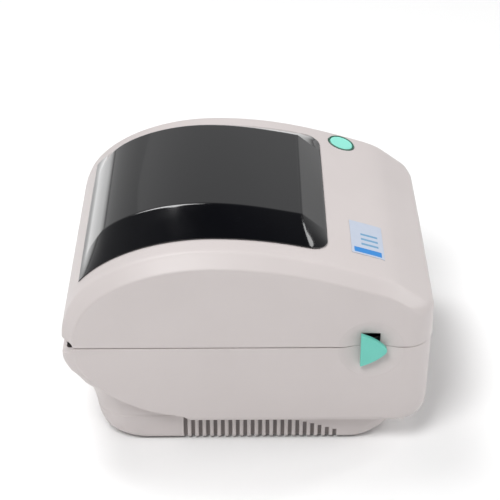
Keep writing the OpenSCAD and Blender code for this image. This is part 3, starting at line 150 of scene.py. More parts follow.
for name, (place, aim_height, wide, high, watts) in studio_lamps.items():
    lamp_data = bpy.data.lights.new(name, "AREA")
    lamp_data.shape, lamp_data.size, lamp_data.size_y, lamp_data.energy = "RECTANGLE", wide, high, watts
    lamp = in_scene(name, lamp_data)
    lamp.location, lamp.rotation_mode = place, "QUATERNION"
    lamp.rotation_quaternion = (Vector((0, 0, aim_height)) - Vector(place)).to_track_quat("-Z", "Y")

# The room round the studio is pale near the floor and dark overhead, so that the window
# mirrors it softly. Tones are shown as they are, without a film curve.
room_low, room_high = 0.55, 0.03
studio = bpy.data.worlds.new("studio")
studio.use_nodes = True
room = studio.node_tree
room_way = placed(room, "ShaderNodeTexCoord").outputs["Generated"]
room_rise = placed(room, "ShaderNodeSeparateXYZ", Vector=room_way).outputs["Z"]
room_shade = placed(room, "ShaderNodeMapRange", Value=room_rise, To_Min=room_low, To_Max=room_high)
joined(room, room.nodes["Background"], {"Color": (1, 1, 1, 1), "Strength": room_shade.outputs["Result"]})
bpy.context.scene.world = studio
bpy.context.scene.view_settings.view_transform = "Standard"


# Bottom plate that closes the base: grey moulded plastic with a fine spark texture,
# kept as the frame has it and screwed up into the base's columns.
dark_until, light_from, glossier, duller, grain_height = 0.3, 0.7, 0.05, 0.07, 0.35


def moulded(name, dark, light, roughness, grain, depth, blotch=30):
    """Moulded plastic: two close shades in soft patches, and a spark grain in gloss and surface."""
    plastic = blank(name)
    tree = plastic.node_tree
    place = placed(tree, "ShaderNodeTexCoord").outputs["Object"]
    patches = placed(tree, "ShaderNodeTexNoise", Vector=place, Scale=blotch, Detail=3)
    shades = placed(tree, "ShaderNodeValToRGB", Fac=patches.outputs["Fac"])
    first, last = shades.color_ramp.elements
    first.position, first.color = dark_until, (*dark, 1)
    last.position, last.color = light_from, (*light, 1)
    spark = placed(tree, "ShaderNodeTexNoise", Vector=place, Scale=grain, Detail=4).outputs["Fac"]
    gloss = placed(tree, "ShaderNodeMapRange", Value=spark, To_Min=roughness - glossier,
                   To_Max=roughness + duller)
    relief = placed(tree, "ShaderNodeBump", Height=spark, Strength=grain_height, Distance=depth)
    return finished(plastic, Base_Color=shades.outputs["Color"], Roughness=gloss.outputs["Result"],
                    Normal=relief.outputs["Normal"])


def finish_nodes(finish, *names):
    """Gives parts of the frame their finish; their meshes stay as they are."""
    for name in names:
        coated(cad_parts[name], finish)


plate_plastic = moulded("plate_plastic", (0.400, 0.372, 0.364), (0.430, 0.400, 0.392), 0.5, 2200, 0.00012)
finish_nodes(plate_plastic, "bottom_plate")

# Four rubber feet pressed into the bottom plate: soft black rubber with a rounded sole.
# One foot is turned from its profile and Geometry Nodes set it at the four places.
merge_gap = 1e-7


def closed_piece(name, points, faces):
    """A closed solid with its doubles merged and its faces outward."""
    mesh = bpy.data.meshes.new(name)
    mesh.from_pydata(points, [], faces)
    work = bmesh.new()
    work.from_mesh(mesh)
    bmesh.ops.remove_doubles(work, verts=work.verts, dist=merge_gap)
    bmesh.ops.recalc_face_normals(work, faces=work.faces)
    work.to_mesh(mesh)
    work.free()
    return in_scene(name, mesh)


def turned_ring(name, profile, steps=48):
    """A closed solid turned round Z from a profile of (radius, height) points, from axis to axis."""
    angles = [2 * math.pi * k / steps for k in range(steps)]
    points = [(radius * math.cos(a), radius * math.sin(a), height)
              for radius, height in profile for a in angles]
    faces = [(i + k, i + (k + 1) % steps, i + steps + (k + 1) % steps, i + steps + k)
             for i in range(0, (len(profile) - 1) * steps, steps) for k in range(steps)]
    return closed_piece(name, points, faces)


def smooth(part, angle=35):
    for face in part.data.polygons:
        face.use_smooth = True
    part.data.set_sharp_from_angle(angle=math.radians(angle))
    return part


def settled(part):
    """The piece with its modifiers made into one plain mesh."""
    ready = bpy.data.meshes.new_from_object(part.evaluated_get(bpy.context.evaluated_depsgraph_get()))
    part.modifiers.clear()
    part.data = ready
    return part


def grown(start, inputs, finish, build):
    """Grows a start mesh by Geometry Nodes with named inputs, and makes it one plain mesh."""
    tree = bpy.data.node_groups.new(start.name + "_tree", "GeometryNodeTree")
    tree.interface.new_socket("Start", in_out="INPUT", socket_type="NodeSocketGeometry")
    for label, (kind, value) in inputs.items():
        tree.interface.new_socket(label, in_out="INPUT", socket_type="NodeSocket" + kind)
    tree.interface.new_socket("Piece", in_out="OUTPUT", socket_type="NodeSocketGeometry")
    shape = build(tree, placed(tree, "NodeGroupInput").outputs)
    solid = placed(tree, "GeometryNodeRealizeInstances", Geometry=shape).outputs["Geometry"]
    coat = placed(tree, "GeometryNodeSetMaterial", Geometry=solid, Material=finish)
    placed(tree, "NodeGroupOutput", Piece=coat.outputs["Geometry"])
    growing = start.modifiers.new("growing", "NODES")
    growing.node_group = tree
    for item in tree.interface.items_tree:
        if item.in_out == "INPUT" and item.name in inputs:
            growing[item.identifier] = inputs[item.name][1]
    return settled(start)


def set_at(name, spots, pattern, finish, turn=(0, 0, 0)):
    """Geometry Nodes set a pattern piece at each spot, turned alike, as one mesh."""
    marks = bpy.data.meshes.new(name)
    marks.from_pydata(spots, [], [])

    def setting(tree, given):
        source = placed(tree, "GeometryNodeObjectInfo", Object=given["Pattern"]).outputs["Geometry"]
        return placed(tree, "GeometryNodeInstanceOnPoints", Points=given["Start"], Instance=source,
                      Rotation=given["Turn"]).outputs["Instances"]

    inputs = {"Pattern": ("Object", pattern), "Turn": ("Vector", turn)}
    part = grown(in_scene(name, marks), inputs, finish, setting)
    bpy.data.objects.remove(pattern)
    return smooth(part)


soft_rubber = moulded("soft_rubber", (0.010, 0.010, 0.011), (0.016, 0.016, 0.017), 0.72, 1500, 0.0002)
foot_low, foot_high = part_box("rubber_feet")
foot_radius, foot_height = 0.006, foot_high[2] - foot_low[2]
foot_profile = [(0, 0), (0.0048, 0), (0.0056, 0.0003), (foot_radius, 0.0010),
                (foot_radius, foot_height - 0.0005), (0.0055, foot_height), (0, foot_height)]
foot_spots = [(x, y, foot_low[2]) for x in (foot_low[0] + foot_radius, foot_high[0] - foot_radius)
              for y in (foot_low[1] + foot_radius, foot_high[1] - foot_radius)]
feet = set_at("feet", foot_spots, turned_ring("foot", foot_profile), soft_rubber)
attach(feet, "base")
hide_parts("rubber_feet")

# Base moulding: light grey plastic with a fine matt texture, in one piece with the inset
# plinth, its row of vent slots, the finger dishes of the latches and the rear openings.
casing_wide, casing_deep, parting_height = 0.178, 0.215, 0.0724
half_wide, half_deep = casing_wide / 2, casing_deep / 2
wall, seam, corner_radius, plinth_inset, lowest = 0.0025, 0.0004, 0.018, 0.007, 0.002
base_top = parting_height - seam / 2
# Each row of shares holds the height, the side's inset, the front, the end of the flat side,
# the tuck behind it, the rear corner's radius and the rear.
plinth_shares = [
    (0, 1.13, -0.712, 0.56, 0, 0.90, 0.712), (0.010, 1.04, -0.735, 0.56, 0, 0.94, 0.755),
    (0.034, 1, -0.760, 0.56, 0, 0.94, 0.795), (0.068, 1, -0.788, 0.56, 0, 0.94, 0.818),
    (0.115, 1, -0.813, 0.56, 0, 0.94, 0.832), (0.175, 1, -0.845, 0.56, 0, 0.94, 0.842),
    (0.226, 1, -0.872, 0.30, 0, 0.94, 0.847)]
upper_shares = [
    (0.229, 0.53, -0.935, 0.30, 0.50, 0.94, 0.8475), (0.246, 0.18, -0.962, 0.325, 0.86, 0.94, 0.849),
    (0.290, 0, -0.980, 0.357, 1, 0.94, 0.854), (0.334, 0, -0.986, 0.502, 1, 0.94, 0.860),
    (0.400, 0, -0.989, 0.618, 0.97, 0.92, 0.872), (0.486, 0, -0.991, 0.725, 0.90, 0.76, 0.889),
    (0.583, 0, -0.992, 0.800, 0.70, 0.50, 0.918), (0.654, 0, -0.993, 0.841, 0.56, 0.44, 0.941),
    (0.757, 0, -0.994, 0.895, 0.28, 0.38, 0.979), (0.873, 0, -0.995, 0.925, 0.11, 0.36, 1),
    (1, 0, -0.9955, 0.936, 0.04, 0.35, 1)]


def between(rows, height):
    """A row of shares at a height, eased through the given rows so that no level shows as a crease."""
    k = max(0, min(len(rows) - 2, sum(row[0] <= height for row in rows) - 1))
    low, high = rows[k], rows[k + 1]
    span = high[0] - low[0]
    t = (height - low[0]) / span

    def tangent(i, column):
        slopes = [(rows[j + 1][column] - rows[j][column]) / (rows[j + 1][0] - rows[j][0])
                  for j in (i - 1, i) if 0 <= j < len(rows) - 1]
        if len(slopes) == 1:
            return slopes[0]
        return 2 * slopes[0] * slopes[1] / sum(slopes) if slopes[0] * slopes[1] > 0 else 0

    row = [height]
    for column in range(1, len(low)):
        a, b = tangent(k, column) * span, tangent(k + 1, column) * span
        row.append((2 * t ** 3 - 3 * t ** 2 + 1) * low[column] + (t ** 3 - 2 * t ** 2 + t) * a
                   + (3 * t ** 2 - 2 * t ** 3) * high[column] + (t ** 3 - t ** 2) * b)
    return row


tuck_gap, bend_gap, soft_gap, tuck_soft, corner_pull = 0.002, 0.0005, 0.0002, 0.0012, 0.175


def base_outline(row, inset, height):
    """The base's outline at a level, moved in by an inset: front corners, side, rear tuck."""
    side = half_wide - row[1] * plinth_inset - inset
    front, radius = row[2] * half_deep + inset, corner_radius - inset
    step, rear_radius, rear = row[4] * plinth_inset, row[5] * corner_radius, row[6] * half_deep - inset
    tucked = side - step
    end = min(row[3] * half_deep, rear - rear_radius - tuck_gap)
    bend = min(end + step / 2 + 0.001, rear - rear_radius - bend_gap)
    turns = [math.radians(a) for a in range(-90, 1, 6)]
    half = [(side - radius + radius * math.cos(a), front + radius + radius * math.sin(a)) for a in turns]
    soft = min(tuck_soft, (bend - end) * 0.45)
    first, last = Vector((side, end)), Vector((tucked, bend))
    slope = (last - first).normalized()
    half += [(side, end - soft * 3), (side, end - soft), tuple(first + slope * soft)]
    half += [tuple(last - slope * soft), (tucked, min(bend + soft, rear - rear_radius - soft_gap))]
    pull = Vector((tucked - rear_radius * corner_pull, rear - rear_radius * corner_pull))
    start, finish = Vector((tucked, rear - rear_radius)), Vector((tucked - rear_radius, rear))
    half += [tuple((1 - t) ** 2 * start + 2 * t * (1 - t) * pull + t * t * finish)
             for t in (k / 12 for k in range(13))]
    return [(x, y, height) for x, y in half] + [(-x, y, height) for x, y in reversed(half)]


def stacked(name, loops, stripped=False):
    """A closed solid through loops of equal count. Its ends are flat, or strips between two halves."""
    count = len(loops[0])
    faces = []
    for start in (0, (len(loops) - 1) * count):
        end = range(start, start + count)
        strips = [(end[k], end[k + 1], end[-k - 2], end[-k - 1]) for k in range(count // 2 - 1)]
        faces += strips if stripped else [end]
    for i in range(0, (len(loops) - 1) * count, count):
        faces += [(i + k, i + (k + 1) % count, i + count + (k + 1) % count, i + count + k)
                  for k in range(count)]
    return closed_piece(name, [point for loop in loops for point in loop], faces)


def block(name, low, high, edge=0):
    """A straight-sided tool or rib, with its edges rounded by edge."""
    work = bmesh.new()
    bmesh.ops.create_cube(work, size=1)
    for vert in work.verts:
        vert.co = Vector([low[k] if vert.co[k] < 0 else high[k] for k in range(3)])
    if edge:
        bmesh.ops.bevel(work, geom=work.edges[:], offset=edge, segments=3, affect="EDGES", profile=0.5)
    mesh = bpy.data.meshes.new(name)
    work.to_mesh(mesh)
    work.free()
    return in_scene(name, mesh)


def work_on(part, steps):
    """Cuts tools out of the piece or joins ribs to it, in order, and takes the tools away."""
    for how, tool in steps:
        cut = part.modifiers.new("cut", "BOOLEAN")
        cut.operation, cut.solver, cut.object = how, "EXACT", tool
    settled(part)
    for how, tool in steps:
        bpy.data.objects.remove(tool)
    return part


def rod(radius, low, high):
    return [(0, low), (radius, low), (radius, high), (0, high)]


def moved(part, matrix):
    part.data.transform(matrix)
    return part


def both(part):
    """Joins the piece's mirror image over the middle to it."""
    work = bmesh.new()
    work.from_mesh(part.data)
    copy = bmesh.ops.duplicate(work, geom=work.verts[:] + work.edges[:] + work.faces[:])["geom"]
    for vert in [item for item in copy if isinstance(item, bmesh.types.BMVert)]:
        vert.co.x = -vert.co.x
    bmesh.ops.reverse_faces(work, faces=[item for item in copy if isinstance(item, bmesh.types.BMFace)])
    work.to_mesh(part.data)
    work.free()
    return part


level_span = base_top - lowest
plinth_heights = [0, 0.004, 0.010, 0.02, 0.034, 0.05, 0.068, 0.09, 0.115, 0.145, 0.175, 0.2, 0.226]
upper_heights = [0.229 + 0.061 * k / 6 for k in range(6)] + [0.290 + 0.70 * k / 30 for k in range(31)]
base_loops = [base_outline(between(plinth_shares, h), 0, lowest + h * level_span) for h in plinth_heights]
base_loops += [base_outline(between(upper_shares, h), 0, lowest + h * level_span) for h in upper_heights]
for drop, inset in ((0.0003, 0), (0.0001, 0.0001), (0, 0.0003)):
    base_loops.append(base_outline(upper_shares[-1], inset, base_top - drop))
base_shell = stacked("base_moulding", base_loops)
tool_over = 0.001
hollow_loops = [base_outline(plinth_shares[0], wall, lowest - tool_over)]
hollow_loops += [base_outline(row, wall, lowest + row[0] * level_span) for row in plinth_shares[1:]]
hollow_loops += [base_outline(row, wall, lowest + row[0] * level_span + wall) for row in upper_shares[:-1]]
hollow_loops.append(base_outline(upper_shares[-1], wall, base_top + tool_over))
base_steps = [("DIFFERENCE", stacked("base_hollow", hollow_loops))]

dish_y, dish_z, dish_radius, dish_depth = -0.07082, 0.0714, 0.0205, 0.0034
dish_steps, dish_over, slot_edge = 26, 0.002, 0.0007
slot_low, slot_high = (half_wide - 0.0074, -0.0762, 0.0662), (half_wide + 0.003, -0.06505, 0.0815)
back_deep, back_flat, back_radius, back_low, back_high = 0.005, 0.018, 0.0195, 0.0514, 0.0914
along_x = Matrix.Rotation(math.radians(90), 4, "Y")
at_dish = Matrix.Translation((0, dish_y, dish_z)) @ along_x


def dish_tools():
    """The round finger dishes and the slots above the pulls, as tools for base and cover."""
    face = [(dish_radius * t, half_wide - dish_depth * (1 - t * t) ** 2)
            for t in (k / dish_steps for k in range(dish_steps))]
    face = [(r, h) for r, h in face if h < half_wide - 0.00005]
    rim = [(face[-1][0] + 0.0003, half_wide + dish_over), (0, half_wide + dish_over)]
    bowl = moved(turned_ring("dish_tool", face + rim, 96), at_dish)
    return both(bowl), both(block("slot_tool", slot_low, slot_high, slot_edge))


def dish_backs(low, high):
    """The thicker rounds behind the dishes, cut at the seam."""
    profile = [(0, half_wide - back_deep), (back_flat, half_wide - back_deep),
               (back_radius, half_wide - wall / 2), (0, half_wide - wall / 2)]
    limit = block("dish_limit", (-half_wide, -half_deep, low), (half_wide, half_deep, high))
    return work_on(both(moved(turned_ring("dish_back", profile, 64), at_dish)), [("INTERSECT", limit)])


hinge_y, hinge_z, sweep, sweep_half = 0.1, 0.078, 0.00823, 0.0845
trough_half, trough_low, ear_in, ear_out = 0.063, 0.0634, 0.0738, 0.0875
column_x, column_ys, column_radius, column_low, column_high = 0.0755, (-0.0645, 0.0602), 0.0045, 0.0063, 0.020
base_steps.append(("UNION", dish_backs(back_low, base_top)))
base_steps.append(("UNION", block("rear_trough", (-trough_half, hinge_y - sweep, trough_low),
                                  (trough_half, half_deep - wall / 2, base_top))))
base_steps.append(("UNION", both(block("rear_ear", (ear_in, hinge_y - sweep, trough_low),
                                       (ear_out, hinge_y + 0.001, base_top)))))
for y in column_ys:
    column = turned_ring("column", rod(column_radius, column_low, column_high))
    base_steps.append(("UNION", both(moved(column, Matrix.Translation((column_x, y, 0))))))

# The vent slots: one flared slot, which Geometry Nodes repeat along the plinth and lower
# towards the front. Both rows are cut to a thin back of the same plastic, which shows in the gaps.
shell_plastic = moulded("shell_plastic", (0.570, 0.522, 0.514), (0.588, 0.540, 0.532), 0.42, 2600, 0.00010,
                        blotch=18)
slot_half, flare, slot_in, slot_out = 0.0011, 0.0005, half_wide - 0.0091, half_wide - 0.0055
plinth_face = half_wide - plinth_inset
mouth = [(slot_in, slot_half), (plinth_face - flare, slot_half), (plinth_face - 0.00015, slot_half + 0.00035),
         (plinth_face + 0.0001, slot_half + flare), (slot_out, slot_half + flare)]
plan = [(x, -y) for x, y in mouth] + mouth[::-1]
vent = stacked("vent_tool", [[(x, y, z) for x, y in plan] for z in (0, 1)])
vent_sizes = {"Slots": ("Int", 21), "Pitch": ("Float", -0.00446), "First": ("Float", 0.0375),
              "Height": ("Float", 0.0174), "Fade start": ("Float", -0.0109), "Fade length": ("Float", 0.043),
              "Fade depth": ("Float", 0.01069)}


def reckoned(tree, how, a, b=0.0):
    """One Math node, from sockets or plain numbers."""
    node = placed(tree, "ShaderNodeMath", {"operation": how})
    for socket, value in zip(node.inputs, (a, b)):
        if isinstance(value, bpy.types.NodeSocket):
            tree.links.new(value, socket)
        else:
            socket.default_value = value
    return node.outputs[0]


def vent_row(tree, given):
    """A line of slots whose height falls off past the fade's start."""
    start = placed(tree, "ShaderNodeCombineXYZ", Y=given["First"]).outputs[0]
    step = placed(tree, "ShaderNodeCombineXYZ", Y=given["Pitch"]).outputs[0]
    line = placed(tree, "GeometryNodeMeshLine", Count=given["Slots"], Start_Location=start, Offset=step)
    spot = placed(tree, "GeometryNodeInputPosition").outputs[0]
    y = placed(tree, "ShaderNodeSeparateXYZ", Vector=spot).outputs["Y"]
    past = reckoned(tree, "DIVIDE", reckoned(tree, "SUBTRACT", given["Fade start"], y), given["Fade length"])
    share = reckoned(tree, "MINIMUM", reckoned(tree, "POWER", reckoned(tree, "MAXIMUM", past), 1.5), 1.0)
    fall = reckoned(tree, "MULTIPLY", share, given["Fade depth"])
    height = reckoned(tree, "SUBTRACT", given["Height"], fall)
    stretch = placed(tree, "ShaderNodeCombineXYZ", X=1, Y=1, Z=height).outputs[0]
    return placed(tree, "GeometryNodeInstanceOnPoints", Points=line.outputs["Mesh"], Instance=given["Start"],
                  Scale=stretch).outputs["Instances"]


base_steps.append(("DIFFERENCE", both(grown(vent, vent_sizes, shell_plastic, vent_row))))
base_steps += [("DIFFERENCE", tool) for tool in dish_tools()]
sweep_tool = turned_ring("sweep_tool", rod(sweep, -sweep_half, sweep_half), 96)
base_steps.append(("DIFFERENCE", moved(sweep_tool, Matrix.Translation((0, hinge_y, hinge_z)) @ along_x)))
groove_in, groove_out, groove_top, groove_half = half_deep - 0.007, half_deep + tool_over, 0.0734, 0.09
rear_slope = [(groove_in, 0.0718), (groove_out, 0.0656), (groove_out, groove_top), (groove_in, groove_top)]
rear_groove = stacked("rear_groove", [[(x, y, z) for y, z in rear_slope]
                                      for x in (-groove_half, groove_half)])
base_steps.append(("DIFFERENCE", rear_groove))
stock_low, stock_high, stock_edge = (-0.058, 0.0875, 0.0524), (0.058, 0.109, 0.0584), 0.0008
base_steps.append(("DIFFERENCE", block("stock_slot", stock_low, stock_high, stock_edge)))
port_in, port_edge = 0.0801, 0.0003
ports = {"data_port": (0.0379, 0.0501, 0.02105, 0.03205), "power_port": (0.0134, 0.0226, 0.02105, 0.03205),
         "switch_port": (-0.0496, -0.0304, 0.02155, 0.03475)}
for name, (x0, x1, z0, z1) in ports.items():
    port = block(name, (x0, port_in, z0), (x1, half_deep, z1), port_edge)
    base_steps.append(("DIFFERENCE", port))
smooth(work_on(base_shell, base_steps), 30)

# The base's finish. The backs of the vent slots are marked on the mesh and shaded darker,
# as they lie in the slots' shadow.
vent_top, vent_shade = 0.0215, (0.19, 0.165, 0.16, 1)
vent_back = base_shell.data.attributes.new("vent_back", "FLOAT", "FACE")
for face in base_shell.data.polygons:
    at_back = abs(abs(face.center.x) - slot_in) < 0.00005
    vent_back.data[face.index].value = at_back and face.center.z < vent_top
tree = shell_plastic.node_tree
back_mark = placed(tree, "ShaderNodeAttribute", {"attribute_name": "vent_back"}).outputs["Fac"]
shaded = placed(tree, "ShaderNodeMix", {"data_type": "RGBA"}, Factor=back_mark,
                A=tree.nodes["Color Ramp"].outputs["Color"], B=vent_shade)
finished(shell_plastic, Base_Color=shaded.outputs["Result"])
coated(base_shell, shell_plastic)
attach(base_shell, "base")
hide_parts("base_shell")


# Pan-head machine screws of zinc-plated steel with a cross recess hold the bottom plate. One
# is turned and cut for each size, and Geometry Nodes set it in its holes.
mark_scale, mark_shade, mark_height, polished, rubbed = 900, 0.86, 0.3, 0.06, 0.1


def metal(name, shade, roughness, along=(1, 1, 1), depth=0.00002):
    """Bare metal whose fine rolling or turning marks run along one way."""
    bare = blank(name)
    tree = bare.node_tree
    place = placed(tree, "ShaderNodeTexCoord").outputs["Object"]
    drawn_out = placed(tree, "ShaderNodeMapping", Vector=place, Scale=along).outputs["Vector"]
    marks = placed(tree, "ShaderNodeTexNoise", Vector=drawn_out, Scale=mark_scale, Detail=4).outputs["Fac"]
    tone = placed(tree, "ShaderNodeValToRGB", Fac=marks)
    tone.color_ramp.elements[0].color = (*[v * mark_shade for v in shade], 1)
    tone.color_ramp.elements[1].color = (*shade, 1)
    gloss = placed(tree, "ShaderNodeMapRange", Value=marks, To_Min=roughness - polished,
                   To_Max=roughness + rubbed)
    relief = placed(tree, "ShaderNodeBump", Height=marks, Strength=mark_height, Distance=depth)
    return finished(bare, Metallic=1, Base_Color=tone.outputs["Color"], Roughness=gloss.outputs["Result"],
                    Normal=relief.outputs["Normal"])


zinc = metal("zinc_plate", (0.62, 0.63, 0.65), 0.32)
pin_radius, recess_half = 0.00125, 0.0003


def screw_set(name, node, body, spots, head_radius, head_height, length, turn=(0, 0, 0)):
    """Screws along +Z from the head's seat, with rounded heads and a cross recess, at the spots."""
    head = [(0, -head_height), (head_radius * 0.6, -head_height), (head_radius * 0.9, -head_height * 0.8),
            (head_radius, -head_height * 0.45), (head_radius, 0)]
    pin = [(pin_radius, 0), (pin_radius, length - 0.0006), (pin_radius * 0.6, length), (0, length)]
    one = turned_ring("screw", head + pin, 32)
    reach, above, bottom = head_radius * 0.62, -head_height - tool_over, -head_height * 0.45
    work_on(one, [("DIFFERENCE", block("recess", (-a, -b, above), (a, b, bottom)))
                  for a, b in ((reach, recess_half), (recess_half, reach))])
    screws = set_at(name, spots, one, zinc, turn)
    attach(screws, body)
    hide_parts(node)


plate_seat = 0.0037
column_spots = [(s * column_x, y, plate_seat) for s in (-1, 1) for y in column_ys]
screw_set("base_screws", "plate_screws", "base", column_spots, head_radius=0.0028, head_height=0.0012,
          length=0.012)

# Side frames and head bracket, stamped from steel plate, with the hinge rod, shafts and studs
# as drawn rod. Their marks run along the stroke and the draw.
stamped = metal("stamped_steel", (0.50, 0.51, 0.53), 0.36, (1, 0.15, 1))
drawn = metal("drawn_rod", (0.58, 0.59, 0.61), 0.22, (0.08, 1, 1))
finish_nodes(stamped, "side_frame_left", "side_frame_right", "head_bracket")
finish_nodes(drawn, "hinge_rod", "platen_shaft", "idler_stud", "latch_shaft", "head_pivot", "latch_strikers")

# Media tray, slot guide, cover frame and head carrier: mid-grey chassis mouldings with a
# coarser texture than the casing. Sensors, holders, inlet and switch are black plastic. All
# stay as the frame has them.
black_plastic = moulded("black_plastic", (0.012, 0.012, 0.013), (0.017, 0.017, 0.018), 0.5, 2200, 0.00012)
liner_plastic = moulded("liner_plastic", (0.130, 0.132, 0.138), (0.150, 0.152, 0.158), 0.55, 1400, 0.00018)
finish_nodes(liner_plastic, "media_tray", "rear_slot_guide", "cover_frame", "head_carrier")
finish_nodes(black_plastic, "media_sensor_top", "media_sensor_bottom", "media_holder_left",
             "media_holder_right", "power_inlet", "switch_housing", "switch_rocker")

# Platen roller: dark ground rubber on the steel shaft, with its ends eased so that labels
# don't catch.
roller_rubber = moulded("roller_rubber", (0.018, 0.018, 0.019), (0.028, 0.028, 0.029), 0.62, 3200, 0.00006)
roller_radius, roller_half, roller_bore, roller_edge = 0.008, 0.057, 0.003025, 0.0006
roller_place = (0, -0.09, 0.066)
eased_end = [(roller_bore, roller_half), (roller_radius - roller_edge, roller_half),
             (roller_radius, roller_half - roller_edge)]
roller_profile = [(r, -h) for r, h in eased_end] + eased_end[::-1] + [(roller_bore, -roller_half)]
roller = turned_ring("platen_roller", roller_profile, 96)
coated(smooth(moved(roller, Matrix.Translation(roller_place) @ along_x)), roller_rubber)
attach(roller, "platen")
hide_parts("platen_rubber")

# Drive: a square stepper motor of stacked laminations, screwed to the left frame, with nylon
# gears that have a slight sheen.
stack = moulded("motor_laminations", (0.030, 0.031, 0.033), (0.09, 0.09, 0.095), 0.45, 1800, 0.0001)


def banded(material, direction, scale, distortion=0):
    """Puts the material's two shades in bands of sheets or strands."""
    tree = material.node_tree
    bands = placed(tree, "ShaderNodeTexWave", {"bands_direction": direction}, Scale=scale,
                   Distortion=distortion, Vector=tree.nodes["Texture Coordinate"].outputs["Object"])
    tree.links.new(bands.outputs["Fac"], tree.nodes["Color Ramp"].inputs["Fac"])


banded(stack, "X", 320, 0.4)
finish_nodes(stack, "motor_body")
gear_nylon = moulded("gear_nylon", (0.70, 0.67, 0.58), (0.78, 0.75, 0.67), 0.38, 1200, 0.00008)
finish_nodes(gear_nylon, "platen_gear", "idler_gear", "motor_pinion", "platen_bushes", "rack_pinion")
motor_x, motor_y, motor_z, motor_hole = -0.0683, -0.062, 0.038, 0.01295
motor_spots = [(motor_x, motor_y + s * motor_hole, motor_z + s * motor_hole) for s in (-1, 1)]
screw_set("drive_screws", "motor_screws", "base", motor_spots, head_radius=0.0026, head_height=0.0014,
          length=0.0055, turn=(0, math.radians(90), 0))

# Latch levers: the triangular pull outside in mint green acetal, with their edges rounded. The stem through
# the slot and the hook inside are painted black as painted shade, for the dark of the slot.
mint_plastic = moulded("mint_acetal", (0.140, 0.560, 0.465), (0.165, 0.620, 0.525), 0.36, 2200, 0.00006)
pull_back, arm_painted_shade, pull_edge = 0.0868, (0.012, 0.012, 0.013, 1), 0.0006
tree = mint_plastic.node_tree
place = tree.nodes["Texture Coordinate"].outputs["Object"]
# Past the pull's back the lever's colour is painted black: painted shade for the slot's shadow.
over_x = placed(tree, "ShaderNodeSeparateXYZ", Vector=place).outputs["X"]
outer = reckoned(tree, "GREATER_THAN", reckoned(tree, "ABSOLUTE", over_x), pull_back)
arm_shade_mix = placed(tree, "ShaderNodeMix", {"data_type": "RGBA"}, Factor=outer, A=arm_painted_shade,
                  B=tree.nodes["Color Ramp"].outputs["Color"])
finished(mint_plastic, Base_Color=arm_shade_mix.outputs["Result"])


def eased(work, edge, angle):
    """Rounds the edges of a mesh that are sharper than an angle."""
    sharp = [e for e in work.edges if e.is_manifold and e.calc_face_angle(0) > math.radians(angle)]
    bmesh.ops.bevel(work, geom=sharp, offset=edge, segments=3, affect="EDGES", profile=0.5,
                    clamp_overlap=True)


def eased_copy(node, name, edge, finish):
    """A copy of a part of the frame with its flats merged and its sharp edges rounded."""
    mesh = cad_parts[node].data.copy()
    mesh.transform(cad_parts[node].matrix_world)
    work = bmesh.new()
    work.from_mesh(mesh)
    bmesh.ops.remove_doubles(work, verts=work.verts, dist=1e-6)
    bmesh.ops.dissolve_limit(work, angle_limit=math.radians(0.5), verts=work.verts, edges=work.edges)
    eased(work, edge, 40)
    work.to_mesh(mesh)
    work.free()
    return coated(smooth(in_scene(name, mesh)), finish)


for side in ("left", "right"):
    pull = eased_copy("latch_lever_" + side, "latch_pull_" + side, pull_edge, mint_plastic)
    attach(pull, "latch")
    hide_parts("latch_lever_" + side)


# Springs: hard steel wire, wound to a helix by its centre line, which Geometry Nodes turn
# into round wire. Two press the head down and one, on the latch shaft, returns the latches.
def wound(name, lines, wire_radius):
    """Round spring wire along the given centre lines."""
    points, links = [], []
    for line in lines:
        links += [(len(points) + k, len(points) + k + 1) for k in range(len(line) - 1)]
        points += line
    mesh = bpy.data.meshes.new(name)
    mesh.from_pydata(points, links, [])

    def thickening(tree, given):
        line = placed(tree, "GeometryNodeMeshToCurve", Mesh=given["Start"]).outputs["Curve"]
        ring = placed(tree, "GeometryNodeCurvePrimitiveCircle", Resolution=12, Radius=given["Wire radius"])
        return placed(tree, "GeometryNodeCurveToMesh", Curve=line, Profile_Curve=ring.outputs["Curve"],
                      Fill_Caps=True).outputs["Mesh"]

    inputs = {"Wire radius": ("Float", wire_radius)}
    return smooth(grown(in_scene(name, mesh), inputs, spring_steel, thickening))


spring_steel = metal("spring_steel", (0.42, 0.43, 0.45), 0.28)
spring_low, spring_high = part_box("head_springs")
coil_x, coil_radius, coil_wire, coil_turns, coil_steps, flat_turn = 0.030, 0.0034, 0.00038, 6, 24, 0.8
spring_y = (spring_low[1] + spring_high[1]) / 2
coil_low, coil_high = spring_low[2] + coil_wire + 0.0001, spring_high[2] - coil_wire


def coil(x):
    """A helix up Z that lies flat for most of a turn at each end."""
    line = []
    for k in range(coil_turns * coil_steps + 1):
        turn = k / coil_steps
        rise = min(max((turn - flat_turn) / (coil_turns - 2 * flat_turn), 0), 1)
        a = 2 * math.pi * turn
        line.append((x + coil_radius * math.cos(a), spring_y + coil_radius * math.sin(a),
                     coil_low + (coil_high - coil_low) * rise))
    return line


head_coils = wound("head_coils", [coil(-coil_x), coil(coil_x)], coil_wire)
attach(head_coils, "cover")
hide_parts("head_springs")
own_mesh(head_coils)
latch_low, latch_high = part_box("latch_spring")
shaft_y, shaft_z, wrap_radius, wrap_wire, wrap_turns = -0.084, 0.0362, 0.0034, 0.00045, 5
wrap_from = latch_low[0] + 0.0006
wrap_step = (latch_high[0] - latch_low[0] - 0.0012) / (wrap_turns * coil_steps)
latch_leg = [(wrap_from, shaft_y - wrap_radius, z) for z in (0.0206, 0.0290)]
latch_wrap = [(wrap_from + wrap_step * k, shaft_y - wrap_radius * math.cos(2 * math.pi * k / coil_steps),
               shaft_z - wrap_radius * math.sin(2 * math.pi * k / coil_steps))
              for k in range(wrap_turns * coil_steps + 1)]
latch_wire = wound("latch_return_spring", [latch_leg + latch_wrap], wrap_wire)
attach(latch_wire, "base")
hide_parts("latch_spring")

